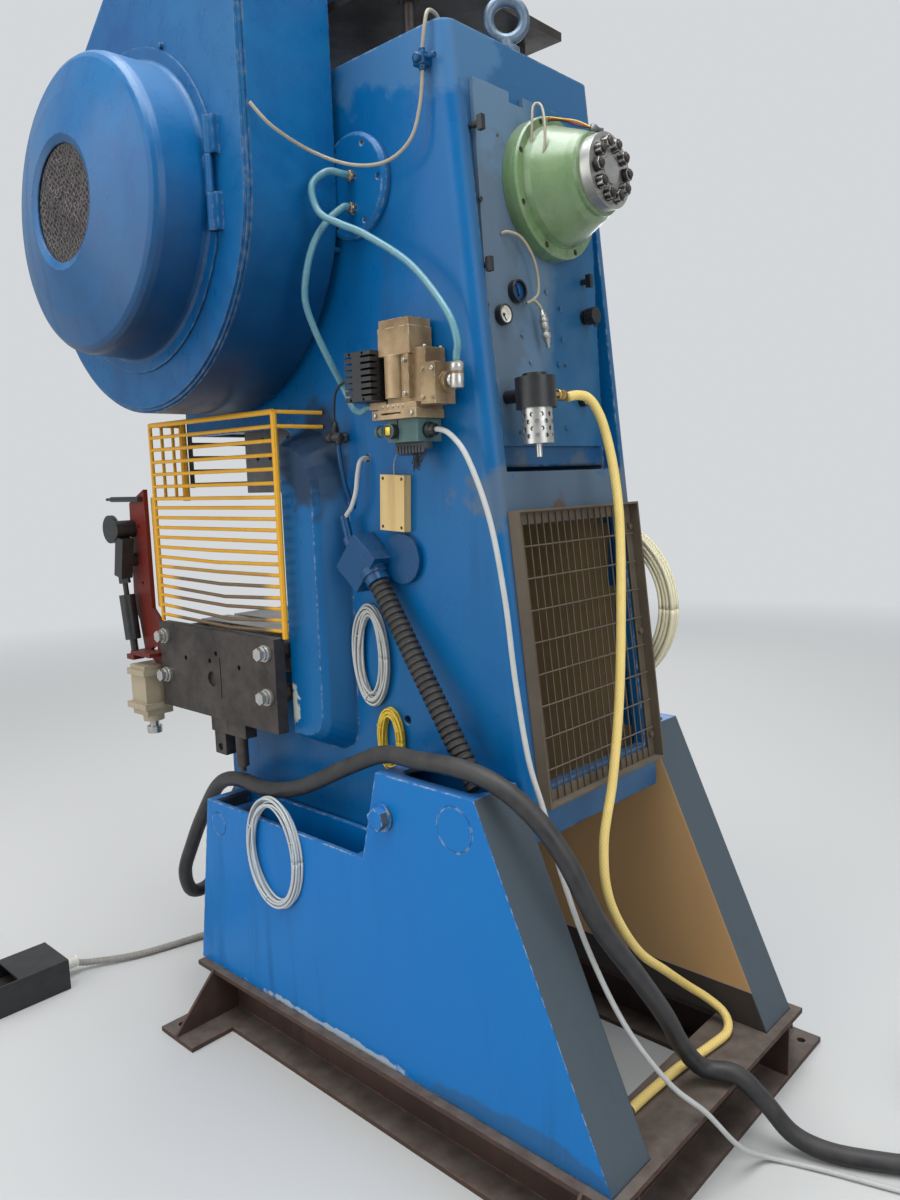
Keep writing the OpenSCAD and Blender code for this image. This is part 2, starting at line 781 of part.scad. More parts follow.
module manifold_plate() {
    x = side_x + fit;
    color("#0b6bb8") difference() {
        translate([x, manifold_at[0], manifold_at[1]]) rotate([0, 90, 0])
            rotate_extrude() polygon([[0, 0], [manifold_d / 2, 0], [manifold_d / 2, manifold_t - 8],
                [manifold_d / 2 - 8, manifold_t], [0, manifold_t]]);
        for (a = [0 : 60 : 300]) bar_x(x + manifold_t - 6, x + manifold_t + 1,
            manifold_at[0] + 96 * cos(a), manifold_at[1] + 96 * sin(a), 12);
    }
    color("#7a7258") for (z = [hose_a_z, hose_b_z])
        translate([x + manifold_t - eps, hose_y, z]) rotate([0, 90, 0]) {
            hex_head(22, 12);
            cylinder(d = 14, h = 16);
        }
}

// routes of the lines on the frame side
hose_d = 16;
hose_a = [[303.6, -66, 2236], [318, -66, 2236], [352, -78, 2236], [390, -86, 2200], [392, -64, 2140], [375, -13, 2107],
    [350, 40, 2078], [325, 150, 2000], [322, 246, 1893], [325.6, 277, 1830],
    [325.3, 274.5, 1800], [325.3, 274, 1785.3]];
hose_b = [[304.4, -66, 2166], [316, -66, 2165], [352, -77, 2134], [385, -90, 2085], [400, -105, 2023],
    [395, -123, 1959], [370, -125, 1897], [335, -120, 1829], [304, -108, 1765], [306, -76, 1717], [314, -40, 1704],
    [317, -12, 1713], [318, 0, 1712], [318, 7.3, 1712]];
lube_d = 8;
lube_a = [[530, -107, 2345], [490, -85, 2300], [400, -72, 2268], [340, -12, 2238],
    [315, 74, 2228], [300, 137, 2260], [288, 158, 2327], [284, 165, 2400]];
lube_b = [[284, 166, 2436], [284, 175, 2480], [272, 175, 2512], [240, 170, 2514], [226, 165, 2496]];

module service_lines() {
    color("#4f8f8f") {
        sweep(hose_a, hose_d, 40);
        sweep(hose_b, hose_d, 40);
    }
    color("#c9b38c") {
        sweep(lube_a, lube_d, 40);
        sweep(lube_b, lube_d, 20);
    }
    color("#1b3f66") translate([side_x, 160, 2404]) {
        translate([0, -12, 0]) cube([28, 30, 24]);
        translate([17, 5, -8]) cylinder(d = 14, h = 44);
    }
    color("#1d1f23") {
        bar_x(side_x, side_x + 24, -153, 1652, 20);
        bar_y(-181, -126, side_x + 34, 1652, 24);
    }
}

// flat wiring box, hung slightly askew
module terminal_box() {
    l = 80;
    h = 130;
    d = 22;
    color("#c4a878") translate([side_x + fit, 26, 1493]) rotate([-3, 0, 0]) difference() {
        translate([0, -l / 2, -h / 2]) cube([d, l, h]);
        difference() {
            translate([d - 7, -l, -h]) cube([1.5, 2 * l, 2 * h]);
            translate([0, -l / 2 + 2, -h / 2 + 2]) cube([d, l - 4, h - 4]);
        }
        for (y = [-1, 1], z = [-1, 1]) bar_x(d - 3, d + 1, y * (l / 2 - 9), z * (h / 2 - 9), 8);
    }
}

// angled conduit outlet with its threaded collar
conduit_top = [304, -14, 1304];
conduit_foot = [345, 318, 878];

module conduit_box() {
    x = side_x + fit;
    dir = unit(conduit_foot - conduit_top);
    color("#1f5f9f") {
        bar_x(x, x + 14, 40, 1362, 118);
        translate([x + 2, -96, 1316]) rotate([-40, 0, 0]) translate([0, -48, -8]) cube([60, 92, 108]);
        bar_x(x, x + 20, -60, 1372, 60);
        rod(conduit_top - 38 * dir, conduit_top - 20 * dir, 66, 24);
        rod(conduit_top - 22 * dir, conduit_top - eps * dir, 58, 24);
        rod([301, -96, 1376], [301, -118, 1408], 34, 16);
    }
    color("#8c8f92") rod([301, -117, 1406], [301, -133, 1462], 22, 16);
}

// flexible conduit with round ribs, running into the leg top
module ribbed_conduit() {
    ribs = 33;
    d = 50;
    core = 42;
    v = conduit_foot - conduit_top;
    l = norm(v);
    pitch = l / ribs;
    color("#17181a") translate(conduit_top) rotate([0, acos(v.z / l), atan2(v.y, v.x)])
        rotate_extrude($fn = 32) polygon([[0, fit],
            for (i = [0 : ribs - 1], p = [[core / 2, 0.02], [d / 2, 0.25], [d / 2, 0.65], [core / 2, 0.85]])
                [p[0], fit + (i + p[1]) * pitch],
            [0, l]]);
}

// welded rod guard beside the die space, its lower rods bent
module side_guard() {
    bar = 16;
    low = feed_z + feed_h;
    upper = 7;
    lower = 12;
    mid_z = guard_top - (upper - 1) * upper_pitch;
    low_z = mid_z - 26;
    post_x = 270;
    sag = [0, 0, 0, 0, 2, 6, 3, 8, 14, 10, 18, 12];
    color("#d9a520") {
        rod([guard_x, guard_back, low + fit], [guard_x, guard_back, guard_top], bar);
        rod([guard_x, guard_front, low + fit], [guard_x, guard_front, guard_top], 12);
        for (i = [0 : upper - 1]) {
            z = guard_top - i * upper_pitch;
            rod([guard_x, guard_front, z], [guard_x, guard_back, z], i == 0 ? 14 : rod_d);
        }
        for (i = [0 : lower - 1]) {
            z = low_z - i * lower_pitch;
            bend = [guard_x - sag[i] / 2, -640 + 9 * i, z - sag[i]];
            rod([guard_x, guard_front, z], bend, rod_d);
            rod(bend, [guard_x, guard_back, z], rod_d);
        }
        // return to the front opening
        for (i = [1, 2]) rod([guard_x - 36 * i, guard_front, mid_z], [guard_x - 36 * i, guard_front, guard_top], rod_d);
        rod([post_x, guard_front, mid_z - 10], [post_x, guard_front, guard_top + 6], 22);
        for (z = [mid_z, guard_top]) rod([post_x, guard_front, z], [guard_x, guard_front, z], rod_d);
        // three uprights ahead of the lower rods
        for (i = [1 : 3]) rod([guard_x - 6 * i, guard_front - 16 * i, low + 36],
            [guard_x - 6 * i, guard_front - 16 * i, mid_z], rod_d);
        for (z = [low + 44, mid_z]) rod([guard_x - 20, guard_front - 52, z], [guard_x, guard_front, z], rod_d);
        // ties to the frame side and the throat pad
        for (z = [guard_top, guard_top - upper_pitch])
            rod([guard_x, guard_back, z], [side_x + 1.8, -236, z - 4], rod_d);
    }
}

// upper front guard of dark rods, hung from the head
module front_guard() {
    low = 1540;
    y = guard_front + 6;
    post = 250;
    color("#26282b") {
        for (x = [-post, 0, post]) rod([x, y, low], [x, y, 1800], x == 0 ? 8 : 14);
        for (i = [0 : 4]) rod([-post, y, low + 10 + i * 40], [post, y, low + 10 + i * 40], rod_d);
        for (x = [-post, post], z = [1740, 1790]) rod([x, y, z], [x, head_front, z], 12);
    }
}

module bolster_plate() {
    slots = 3;
    color("#8d8f8e") difference() {
        span([-side_x, cen_y - bolster_l / 2, bed_top], [side_x, cen_y + bolster_l / 2, bolster_z]);
        for (i = [0 : slots - 1]) translate([(i - 1) * 160, 0, 0]) {
            span([-slot_w / 2, cen_y - bolster_l / 2 - 1, bolster_z - 36],
                [slot_w / 2, i == 1 ? cen_y - 90 : cen_y + bolster_l / 2 + 1, bolster_z + 1]);
            span([-slot_w * 0.8, cen_y - bolster_l / 2 - 1, bolster_z - 38],
                [slot_w * 0.8, i == 1 ? cen_y - 90 : cen_y + bolster_l / 2 + 1, bolster_z - 22]);
        }
        translate([0, cen_y, bed_top - 1]) cylinder(d = 120, h = bolster_t + 2);
    }
}

// dark steel plate on four bars beside the bolster, with its clamp block
module feed_plate() {
    y0 = cen_y - feed_l / 2;
    holes = [[-737, 1060], [-582, 1088], [-614, 1064], [-474, 1061]];
    color("#3f3b38") difference() {
        union() {
            span([feed_x, y0, feed_z], [feed_x + feed_t, y0 + feed_l, feed_z + feed_h]);
            for (s = [-1, 1], z = feed_bolt_z)
                bar_x(side_x + fit, feed_x + 1, cen_y + s * feed_bolt_y, feed_z + z, bar_d);
            span([feed_x - 10, -636, feed_z - 42], [feed_x + 26, -472, feed_z + eps]);
            translate([feed_x + 20, -560, feed_z - 30]) cylinder(d = 16, h = 90);
        }
        for (h = holes) bar_x(feed_x - 1, feed_x + feed_t + 1, h[0], h[1], 14);
        bar_x(feed_x + feed_t - 8, feed_x + feed_t + 1, -607, 1014, 42);
        span([feed_x + feed_t - 12, -566, 965], [feed_x + feed_t + 1, -562, 1078]);
        for (s = [-1, 1], z = feed_bolt_z)
            bar_x(feed_x - 60, feed_x + feed_t + 1, cen_y + s * feed_bolt_y, feed_z + z, 20 + 2 * fit);
    }
    color("#26282a") {
        translate([feed_x + 8, -600, feed_z - 106]) difference() {
            translate([-16, -26, 0]) cube([32, 52, 64.1]);
            translate([8, 0, 20]) rotate([0, 90, 0]) cylinder(d = 22, h = 20);
        }
        translate([feed_x + 8, -520, feed_z - 128]) cylinder(d = 34, h = 86.1);
        translate([feed_x + 8, -520, feed_z - 144]) cylinder(d = 16, h = 20);
    }
}

module feed_bolts() {
    af = 30;
    color("#a8a49a") for (s = [-1, 1], z = feed_bolt_z)
        translate([feed_x + feed_t, cen_y + s * feed_bolt_y, feed_z + z]) rotate([0, 90, 0]) {
            translate([0, 0, -80]) cylinder(d = 20, h = 84);
            cylinder(d = 44, h = 8);
            translate([0, 0, 8 - eps]) cylinder(d = 38, h = 8);
            translate([0, 0, 16 - 2 * eps]) hex_head(af, 14);
        }
}

// dark upright and red gusset at the front end of the side plate
gate_y = cen_y - feed_l / 2;
gate_low = 1020;

module gate_bracket() {
    x0 = feed_x + 4;
    t = 14;
    low = feed_z + feed_h + 12;
    color("#7a231b") {
        difference() {
            along_x(x0, t) polygon([[gate_y - fit, gate_low], [gate_y - fit, 1130], [gate_y - 62, low + 20],
                [gate_y - 62, 1540], [gate_y - 150, 1500], [gate_y - 165, low + 20], [gate_y - 140, low - 20],
                [gate_y - 120, 1052], [gate_y - 60, gate_low]]);
            along_x(x0 - 1, t + 2) polygon([[gate_y - 46, 1048], [gate_y - 46, 1080], [gate_y - 92, 1056]]);
            for (z = [1260, 1430]) bar_x(x0 - 1, x0 + t + 1, gate_y - 105, z, 12);
        }
        span([x0, gate_y - 132, 1044], [x0 + 56, gate_y - 20, 1056]);
        span([x0 + 24, gate_y - 150, 1030], [x0 + 60, gate_y - 110, 1045]);
    }
}

// square cylinder hanging from the red gusset, with end flanges
module gate_cylinder() {
    x = feed_x + 32;
    y = gate_y - 72;
    z = 868;
    color("#a3957a") difference() {
        union() {
            span([x - 42, y - 42, z], [x + 42, y + 42, gate_low - fit]);
            span([x - 54, y - 54, z + 20], [x + 54, y + 54, z + 38]);
            span([x - 50, y - 50, z + 122], [x + 50, y + 50, z + 140]);
            translate([x, y, z - 22]) cylinder(d = 62, h = 23);
        }
        translate([x, y, z - 30]) cylinder(d = 28 + 2 * run, h = 140);
    }
}

module gate_rod() {
    x = feed_x + 32;
    y = gate_y - 72;
    color("#5a4a42") {
        translate([x, y, 826]) cylinder(d = 28, h = 134);
        translate([x, y, 806]) cylinder(d = 44, h = 20);
    }
}

// air cylinder and lever that work the front gate
module gate_linkage() {
    x = feed_x + 58;
    foot = [x - 12, gate_y - 130, 1056 + fit];
    head = [x - 8, gate_y - 150, 1250];
    dir = unit(head - foot);
    plate_x = feed_x + 18 + fit;
    color("#232528") {
        rod(foot, foot + 36 * dir, 22, 16);
        rod(foot + 34 * dir, foot + 170 * dir, 46, 24);
        rod(foot + 168 * dir, foot + 236 * dir, 16, 16);
        rod(foot + 205 * dir, foot + 262 * dir, 34, 6);
        bar_x(plate_x, x + 8, gate_y - 140, 1330, 40);
        translate([x - 22, gate_y - 172, 1286]) rotate([-12, 0, 0]) cube([36, 44, 120]);
        bar_x(plate_x, x + 22, gate_y - 140, 1424, 52);
        bar_x(x + 4, x + 16, gate_y - 176, 1424, 84);
        span([x - 6, gate_y - 176, 1408], [x + 12, gate_y - 130, 1440]);
        bar_y(gate_y - 240, gate_y - 70, plate_x + 8, 1512, 16);
        bar_y(gate_y - 270, gate_y - 238, plate_x + 8, 1512, 9);
    }
}

// ram block with an open pocket for the rod end
slide_top = slide_z + slide_h;
ball_d = 90;

module slide() {
    pocket_y = throw + ball_d / 2 + 6;
    pocket_low = rod_end_z - stroke - ball_d / 2 - 6;
    color("#55636f") difference() {
        span([-slide_w / 2, cen_y - slide_l / 2, slide_z], [slide_w / 2, cen_y + slide_l / 2, slide_top]);
        span([-ball_d / 2 - 6, cen_y - pocket_y, pocket_low], [ball_d / 2 + 6, cen_y + pocket_y, slide_top + 1]);
        translate([0, cen_y, slide_z - 1]) cylinder(d = 50, h = 80);
        for (y = [-90, -30, 30, 90]) bar_x(-slide_w / 2 - 1, slide_w / 2 + 1, cen_y + y, slide_z + 100, 14);
        for (s = [-1, 1], y = [-60, 60]) bar_x(s > 0 ? slide_w / 2 - 20 : -slide_w / 2 - 1,
            s > 0 ? slide_w / 2 + 1 : -slide_w / 2 + 20, cen_y + y, slide_z + 150, 18);
    }
}

// four guide bars, each round one corner of the slide
module slide_gibs() {
    lip = 36;
    bar = 60;
    z0 = head_bottom + 5;
    z1 = slide_top + 80;
    sx = slide_w / 2;
    sy = slide_l / 2;
    color("#8f7f55") for (mx = [0, 1], s = [-1, 1]) mirror([mx, 0, 0]) translate([0, cen_y, 0]) {
        y0 = s > 0 ? sy - bar : -sy - 34;
        y1 = s > 0 ? sy + 34 : -sy + bar;
        l0 = s > 0 ? sy + fit : -sy - 34;
        l1 = s > 0 ? sy + 34 : -sy - fit;
        span([sx + fit, y0, z0], [hollow_x - eps, y1, z1]);
        span([sx - lip, l0, z0], [sx + fit + eps, l1, z1]);
    }
}

// crank turned in one piece with its eccentric, shown at the top of the stroke
clutch_end = housing_x + housing_w + dome_h - 42;

module crankshaft() {
    color("#9c9e9c") difference() {
        union() {
            bar_x(-side_x + 4, clutch_end, cen_y, crank_z, shaft_d);
            bar_x(-60, 60, cen_y, crank_z + throw, ecc_d);
            for (x = [[-hollow_x + 42 + fit, -60], [60, hollow_x - 42 - fit]])
                bar_x(x[0], x[1], cen_y, crank_z, shaft_d + 30);
        }
        bar_x(clutch_end - 30, clutch_end + 1, cen_y, crank_z, 24);
    }
}

module connecting_rod() {
    big = ecc_d + 66;
    w = 108;
    z = crank_z + throw;
    shank_x = 30;
    color("#6f7a80") difference() {
        union() {
            bar_x(-w / 2, w / 2, cen_y, z, big);
            along_x(-shank_x, 2 * shank_x) polygon([[cen_y - 60, z - 80], [cen_y + 60, z - 80],
                [cen_y + 32, rod_end_z], [cen_y - 32, rod_end_z]]);
            translate([0, cen_y, rod_end_z]) sphere(d = ball_d, $fn = 48);
        }
        bar_x(-w / 2 - 1, w / 2 + 1, cen_y, z, ecc_d + 2 * run);
    }
}

module main_bearings() {
    color("#b5813c") for (s = [-1, 1]) difference() {
        x0 = s > 0 ? hollow_x - 42 : -side_x;
        bar_x(x0, x0 + side_t + 42, cen_y, crank_z, shaft_d + 30);
        bar_x(x0 - 1, x0 + side_t + 43, cen_y, crank_z, shaft_d + 2 * run);
    }
}

// spoked by round holes, with belt grooves in the rim
module flywheel() {
    r = wheel_d / 2;
    rim = 58;
    holes = 5;
    web_x = wheel_x + 65;
    hub_x = 300;
    color("#5d6163") difference() {
        union() {
            bar_x(wheel_x, wheel_x + wheel_w, cen_y, crank_z, wheel_d, $fn = 96);
            bar_x(hub_x, wheel_x + wheel_w + 4, cen_y, crank_z, 200);
        }
        for (x = [[wheel_x - 1, web_x], [web_x + 40, wheel_x + wheel_w + 1]]) difference() {
            bar_x(x[0], x[1], cen_y, crank_z, wheel_d - 2 * rim, $fn = 96);
            bar_x(x[0] - 1, x[1] + 1, cen_y, crank_z, 200);
        }
        for (i = [0 : holes - 1]) bar_x(web_x - 1, web_x + 41, cen_y + 235 * cos(i * 360 / holes),
            crank_z + 235 * sin(i * 360 / holes), 110);
        for (i = [0 : belts - 1]) difference() {
            x = belt_x + (i - (belts - 1) / 2) * belt_pitch;
            bar_x(x - belt_w / 2 - 0.4, x + belt_w / 2 + 0.4, cen_y, crank_z, wheel_d + 2, $fn = 96);
            bar_x(x - belt_w, x + belt_w, cen_y, crank_z, wheel_d - 2 * groove_t, $fn = 96);
        }
        bar_x(hub_x - 1, wheel_x + wheel_w + 5, cen_y, crank_z, shaft_d + 2 * run);
    }
}

// clutch and brake drum keyed to the crank outside the flywheel
module clutch_drum() {
    x0 = wheel_x + wheel_w + 6;
    x1 = clutch_end - 6;
    color("#777c7e") difference() {
        union() {
            bar_x(x0, x0 + 70, cen_y, crank_z, 460, $fn = 96);
            bar_x(x0 + 69, x1 - 30, cen_y, crank_z, 380, $fn = 96);
            bar_x(x1 - 31, x1, cen_y, crank_z, 200);
        }
        for (a = [0 : 45 : 315]) bar_x(x1 - 50, x1 - 29, cen_y + 150 * cos(a), crank_z + 150 * sin(a), 18);
        bar_x(x0 - 1, x1 + 1, cen_y, crank_z, shaft_d + 2 * run);
    }
}

// pressed steel casing over flywheel and belts, open towards the frame
module flywheel_housing() {
    r1 = housing_d / 2;
    r2 = housing_top_d / 2;
    t = housing_t;
    rim = 22;
    feet = [-15, -70, -110];
    color("#0b6bb8") {
        difference() {
            union() {
                along_x(housing_x, housing_w - 12) belt_outline(r1, r2);
                along_x(housing_x + housing_w - 12 - eps, 6 + eps) belt_outline(r1 - 4, r2 - 4);
                along_x(housing_x + housing_w - 6 - eps, 6 + eps) belt_outline(r1 - 11, r2 - 11);
            }
            along_x(housing_x + t, housing_w - 2 * t - 6) belt_outline(r1 - t, r2 - t);
            along_x(housing_x - 1, t + 2) belt_outline(r1 - rim, r2 - rim);
            bar_x(housing_x + housing_w - 20, housing_x + housing_w + 1, cen_y, crank_z, dome_d - 36, $fn = 96);
        }
        for (a = feet)
            bar_x(side_x + fit, housing_x + 1, cen_y + (r1 - 12) * cos(a), crank_z + (r1 - 12) * sin(a), 16);
        bar_x(housing_x + housing_w - 1, housing_x + housing_w + 8, -415, 2550, 13);
        // fixed half of the door hinge with its pin
        for (k = [0, 2]) translate([hinge_x, hinge_y, hinge_z + k * (knuckle_l + 0.6)])
            cylinder(d = hinge_d, h = knuckle_l);
        translate([hinge_x, hinge_y, hinge_z]) cylinder(d = hinge_pin, h = 3 * knuckle_l + 1.2);
        for (k = [0, 2]) span([housing_x + housing_w - eps, hinge_y + 1, hinge_z + k * (knuckle_l + 0.6)],
            [hinge_x, hinge_y + hinge_d / 2 + 14, hinge_z + k * (knuckle_l + 0.6) + knuckle_l]);
    }
}

// pressed dome on a round flange, cut straight along its hinge
module dome_door() {
    rf = door_d / 2;
    rb = dome_d / 2;
    h = dome_h;
    hs = h - shoulder;
    t = door_t;
    ro = door_bevel / 2;
    ri = door_hole / 2;
    z1 = hinge_z + knuckle_l + 0.3;
    color("#0b6bb8") difference() {
        union() {
            translate([door_x, cen_y, crank_z]) rotate([0, 90, 0]) rotate_extrude($fn = 96)
                polygon([[rf, 0], [rf, t], [rb + 6, t], [rb + 1, t + 4], [rb - 1, t + 14],
                    [rb - 4, hs - 28], [rb - 7, hs - 14], [rb - 14, hs - 5], [rb - 24, hs + 1],
                    [0.62 * (rb - 24) + 0.38 * ro, hs + 0.46 * shoulder], [ro, h], [ri, h - 7], [ri, h - 11],
                    [ro - 1, h - 4.5], [0.62 * (rb - 24) + 0.38 * ro, hs + 0.46 * shoulder - 4.5],
                    [rb - 25, hs - 3.5], [rb - 16, hs - 8.5], [rb - 11, hs - 15], [rb - 8, hs - 29],
                    [rb - 5, t + 13], [rb - 5, 0]]);
            difference() {
                union() {
                    translate([hinge_x, hinge_y, z1]) cylinder(d = hinge_d, h = knuckle_l);
                    span([door_x, hinge_y - 40, z1], [hinge_x, hinge_y - 1, z1 + knuckle_l]);
                }
                bar_x(door_x - 1, door_x + 40, cen_y, crank_z, 2 * rb - 2, $fn = 96);
            }
        }
        span([door_x - 1, hinge_y - 3, crank_z - 160], [door_x + t + 0.2, hinge_y + 60, crank_z + 160]);
        translate([hinge_x, hinge_y, z1 - 1]) cylinder(d = hinge_pin + 2 * run, h = knuckle_l + 2);
    }
}

// bunched net pushed into the door hole
module net_filling() {
    r = door_hole / 2 - fit;
    color("#2a211f") translate([door_x + dome_h - 24, cen_y, crank_z]) rotate([0, 90, 0])
        rotate_extrude($fn = 32) polygon([[0, 0], [r - 12, 4], [r, 13], [r, 17], [r - 12, 20], [0, 22]]);
}

module drive_belts() {
    color("#1b1b1c") for (i = [0 : belts - 1])
        along_x(belt_x + (i - (belts - 1) / 2) * belt_pitch - belt_w / 2, belt_w) difference() {
            belt_outline(wheel_belt_r + belt_t, pulley_belt_r + belt_t);
            belt_outline(wheel_belt_r, pulley_belt_r);
        }
}

// plate over the frame top on four studs
plate_z = 2620;
plate_t = 20;

module motor_plate() {
    stud = 28;
    color("#2c3238") {
        span([-250, -560, plate_z], [262, 140, plate_z + plate_t]);
        for (x = [-190, 190], y = [-460, 40]) {
            translate([x, y, frame_top + fit]) cylinder(d = stud, h = plate_z - frame_top + 60);
            for (z = [plate_z - 24, plate_z + plate_t]) translate([x, y, z]) hex_head(44, 24);
            translate([x, y, frame_top + fit]) hex_head(44, 20);
        }
    }
}

// foot mounted motor with cooling ribs and a fan cowl
module motor() {
    r = motor_d / 2;
    x0 = -190;
    x1 = 210;
    ribs = 28;
    foot_z = plate_z + plate_t + fit;
    color("#1f5f9f") difference() {
        union() {
            bar_x(x0, x1, motor_y, motor_z, motor_d - 24);
            for (i = [0 : ribs - 1]) translate([x0 + 20, motor_y, motor_z]) rotate([i * 360 / ribs, 0, 0])
                translate([0, -2.5, r - 30]) cube([x1 - x0 - 40, 5, 30]);
            bar_x(x1 - 30, x1 + 22, motor_y, motor_z, motor_d - 10);
            bar_x(x0 - 60, x0 + 12, motor_y, motor_z, motor_d - 10);
            for (s = [-1, 1]) span([x0 + 50, motor_y + s * 130 - 30, foot_z],
                [x1 - 50, motor_y + s * 130 + 30, motor_z - 0.4 * r]);
            bar_x(x1 + 21, 500, motor_y, motor_z, 48);
        }
        bar_x(x0 - 61, x0 - 56, motor_y, motor_z, motor_d - 60);
    }
}

module motor_pulley() {
    w = belts * belt_pitch + 20;
    x0 = belt_x - w / 2;
    color("#6a6e70") difference() {
        bar_x(x0, x0 + w, motor_y, motor_z, pulley_d);
        for (i = [0 : belts - 1]) difference() {
            x = belt_x + (i - (belts - 1) / 2) * belt_pitch;
            bar_x(x - belt_w / 2 - 0.4, x + belt_w / 2 + 0.4, motor_y, motor_z, pulley_d + 2);
            bar_x(x - belt_w, x + belt_w, motor_y, motor_z, pulley_d - 2 * groove_t);
        }
        bar_x(x0 - 1, x0 + w + 1, motor_y, motor_z, 48 + 2 * run);
    }
}

// foot switch on the floor, its treadle under a hood
pedal_at = [770, -1230];
pedal_l = 260;
pedal_w = 170;
pedal_h = 96;
treadle_pivot = [pedal_at[0] - 70, 34];

module pedal_box() {
    x0 = pedal_at[0] - pedal_l / 2;
    y0 = pedal_at[1] - pedal_w / 2;
    t = 6;
    color("#17181a") difference() {
        span([x0, y0, 0], [x0 + pedal_l, y0 + pedal_w, pedal_h]);
        span([x0 + 40, y0 + t, 10], [x0 + pedal_l + 1, y0 + pedal_w - t, pedal_h - t]);
        span([x0 + 150, y0 + t, 60], [x0 + pedal_l + 1, y0 + pedal_w - t, pedal_h + 1]);
        bar_y(y0 + 1, y0 + pedal_w - 1, treadle_pivot[0], treadle_pivot[1], 10 + 2 * run);
    }
    color("#d8cfb4") bar_x(x0 - 34, x0 + 1, pedal_at[1] + 4, 40, 36);
}

module pedal_treadle() {
    w = pedal_w - 30;
    y0 = pedal_at[1] - w / 2;
    color("#2a2c2f") {
        bar_y(y0 - 12, y0 + w + 12, treadle_pivot[0], treadle_pivot[1], 10);
        along_y(y0, w) polygon([[treadle_pivot[0] - 12, treadle_pivot[1] - 6], [treadle_pivot[0] + 180, treadle_pivot[1] + 4],
            [treadle_pivot[0] + 180, treadle_pivot[1] + 12], [treadle_pivot[0] - 12, treadle_pivot[1] + 8]]);
    }
}

// turns a flat X, Z outline into a plate along Y
module along_y(y0, len) {
    translate([0, y0 + len, 0]) rotate([90, 0, 0]) linear_extrude(len) children();
}

// routes of the free cords
pedal_line_d = 22;
pedal_line = [[605.8, -1226, 40], [590, -1226, 40], [550, -1219, 22], [400, -1150, 12], [196, -1097, 12],
    [80, -1060, 12], [20, -1000, 14], [-20, -930, 60], [-40, -890, 180], [-40, -880, 330],
    [-40, -865, 460], [-40, -825, 550],
    [-40, -784, 589], [-40, -758, 590]];
yellow_d = 22;
yellow_line = [[54, 358, 1717], [30, 366, 1722], [0, 378, 1716], [-22, 392, 1680], [-36, 405, 1620],
    [-44, 418, 1540], [-42, 432, 1430], [-20, 448, 1250], [15, 464, 1040], [60, 474, 860],
    [105, 478, 720], [105, 492, 590], [30, 515, 450], [-90, 524, 345], [-190, 532, 262],
    [-238, 560, 218], [-246, 600, 190], [-205, 628, 174], [-120, 622, 172], [0, 605, 172],
    [110, 598, 172], [190, 596, 172]];
valve_line_d = 12;
valve_line = [[310.6, 193.6, 1652], [310.6, 204, 1652], [313, 240, 1638], [310, 284, 1586], [305, 336, 1457],
    [300, 368, 1290], [297, 388, 1120], [298, 420, 954], [295, 455, 850], [290, 492, 725],
    [276, 552, 560], [240, 618, 400], [170, 680, 262], [100, 728, 178], [20, 768, 70],
    [-60, 800, 12], [-105, 900, 7], [-150, 1040, 7], [-185, 1150, 7], [-212, 1265, 7],
    [-225.8, 1361, 7]];
supply_d = 42;
supply_line = [[160, -757.3, 600], [160, -790, 600], [161, -860, 585], [164, -915, 500], [185, -945, 370],
    [240, -955, 262], [310, -950, 262], [350, -915, 350], [352, -860, 450], [350, -790, 560],
    [353, -684, 682], [362, -570, 724], [372, -420, 730], [380, -262, 770], [385, -50, 872],
    [387, 70, 922], [391, 183, 930], [393, 300, 938], [384, 400, 920], [360, 480, 862],
    [338, 540, 780], [300, 596, 640], [215, 632, 505], [112, 636, 372], [40, 640, 262],
    [-10, 665, 196], [-48, 728, 188], [-88, 778, 120], [-120, 830, 48], [-150, 905, 23],
    [-200, 1010, 22], [-262, 1118, 22], [-314.7, 1187.7, 22]];
coil_at = [-585, 1270];
coil_d = 540;
small_coil_at = [-150, 1382];

module pedal_conduit() { color("#b9b6ae") sweep(pedal_line, pedal_line_d, 50); }

module yellow_hose() {
    color("#e0b64a") sweep(yellow_line, yellow_d, 55);
    color("#b9a36a") bar_x(190 + fit, 222, 596, 172, 24);
}

module valve_cable() { color("#c9c9c2") sweep(valve_line, valve_line_d, 60); }

module supply_cable() {
    color("#232323") sweep(supply_line, supply_d, 100, 10);
    color("#1c1d1f") bar_y(bed_front - 24, bed_front - fit, 160, 600, 58);
    color("#1c1d1f") bar_y(bed_front - 24, bed_front - fit, -40, 590, 36);
}

// coils of the spare length of the two leads, lying on the floor
module cord_coils() {
    color("#232323") translate([coil_at[0], coil_at[1], 0]) rotate_extrude($fn = 48)
        translate([coil_d / 2 - 130, 0]) square([130, 86]);
    color("#c9c9c2") translate([small_coil_at[0], small_coil_at[1], 0]) rotate_extrude($fn = 32)
        translate([34, 0]) square([38, 36]);
}

// hanks of spare leads hung on the frame side and over the leg
module cable_hanks() {
    hank(side_x, -83, 1118, 62, 128, 22, "#b9bbb6");
    hank(side_x, -26, 926, 44, 58, 20, "#d8b93a");
    hank(leg_out, -330, 590, 110, 150, 26, "#c4c6c2");
}

// long loop of cord lying flat against the face at x
module hank(x, y, z, ry, rz, band, tint) {
    color(tint) along_x(x, hank_t) translate([y, z]) difference() {
        scale([ry / rz, 1]) circle(rz, $fn = 40);
        scale([(ry - band) / (rz - band), 1]) circle(rz - band, $fn = 40);
    }
}

hank_t = 20;

// ring of spare tube hung on the far side of the frame
module tube_coil() {
    color("#d8d6c4") translate([-side_x, 212, 1200]) rotate([0, -90, 0]) rotate_extrude($fn = 48)
        translate([185, 0]) square([42, 44]);
}

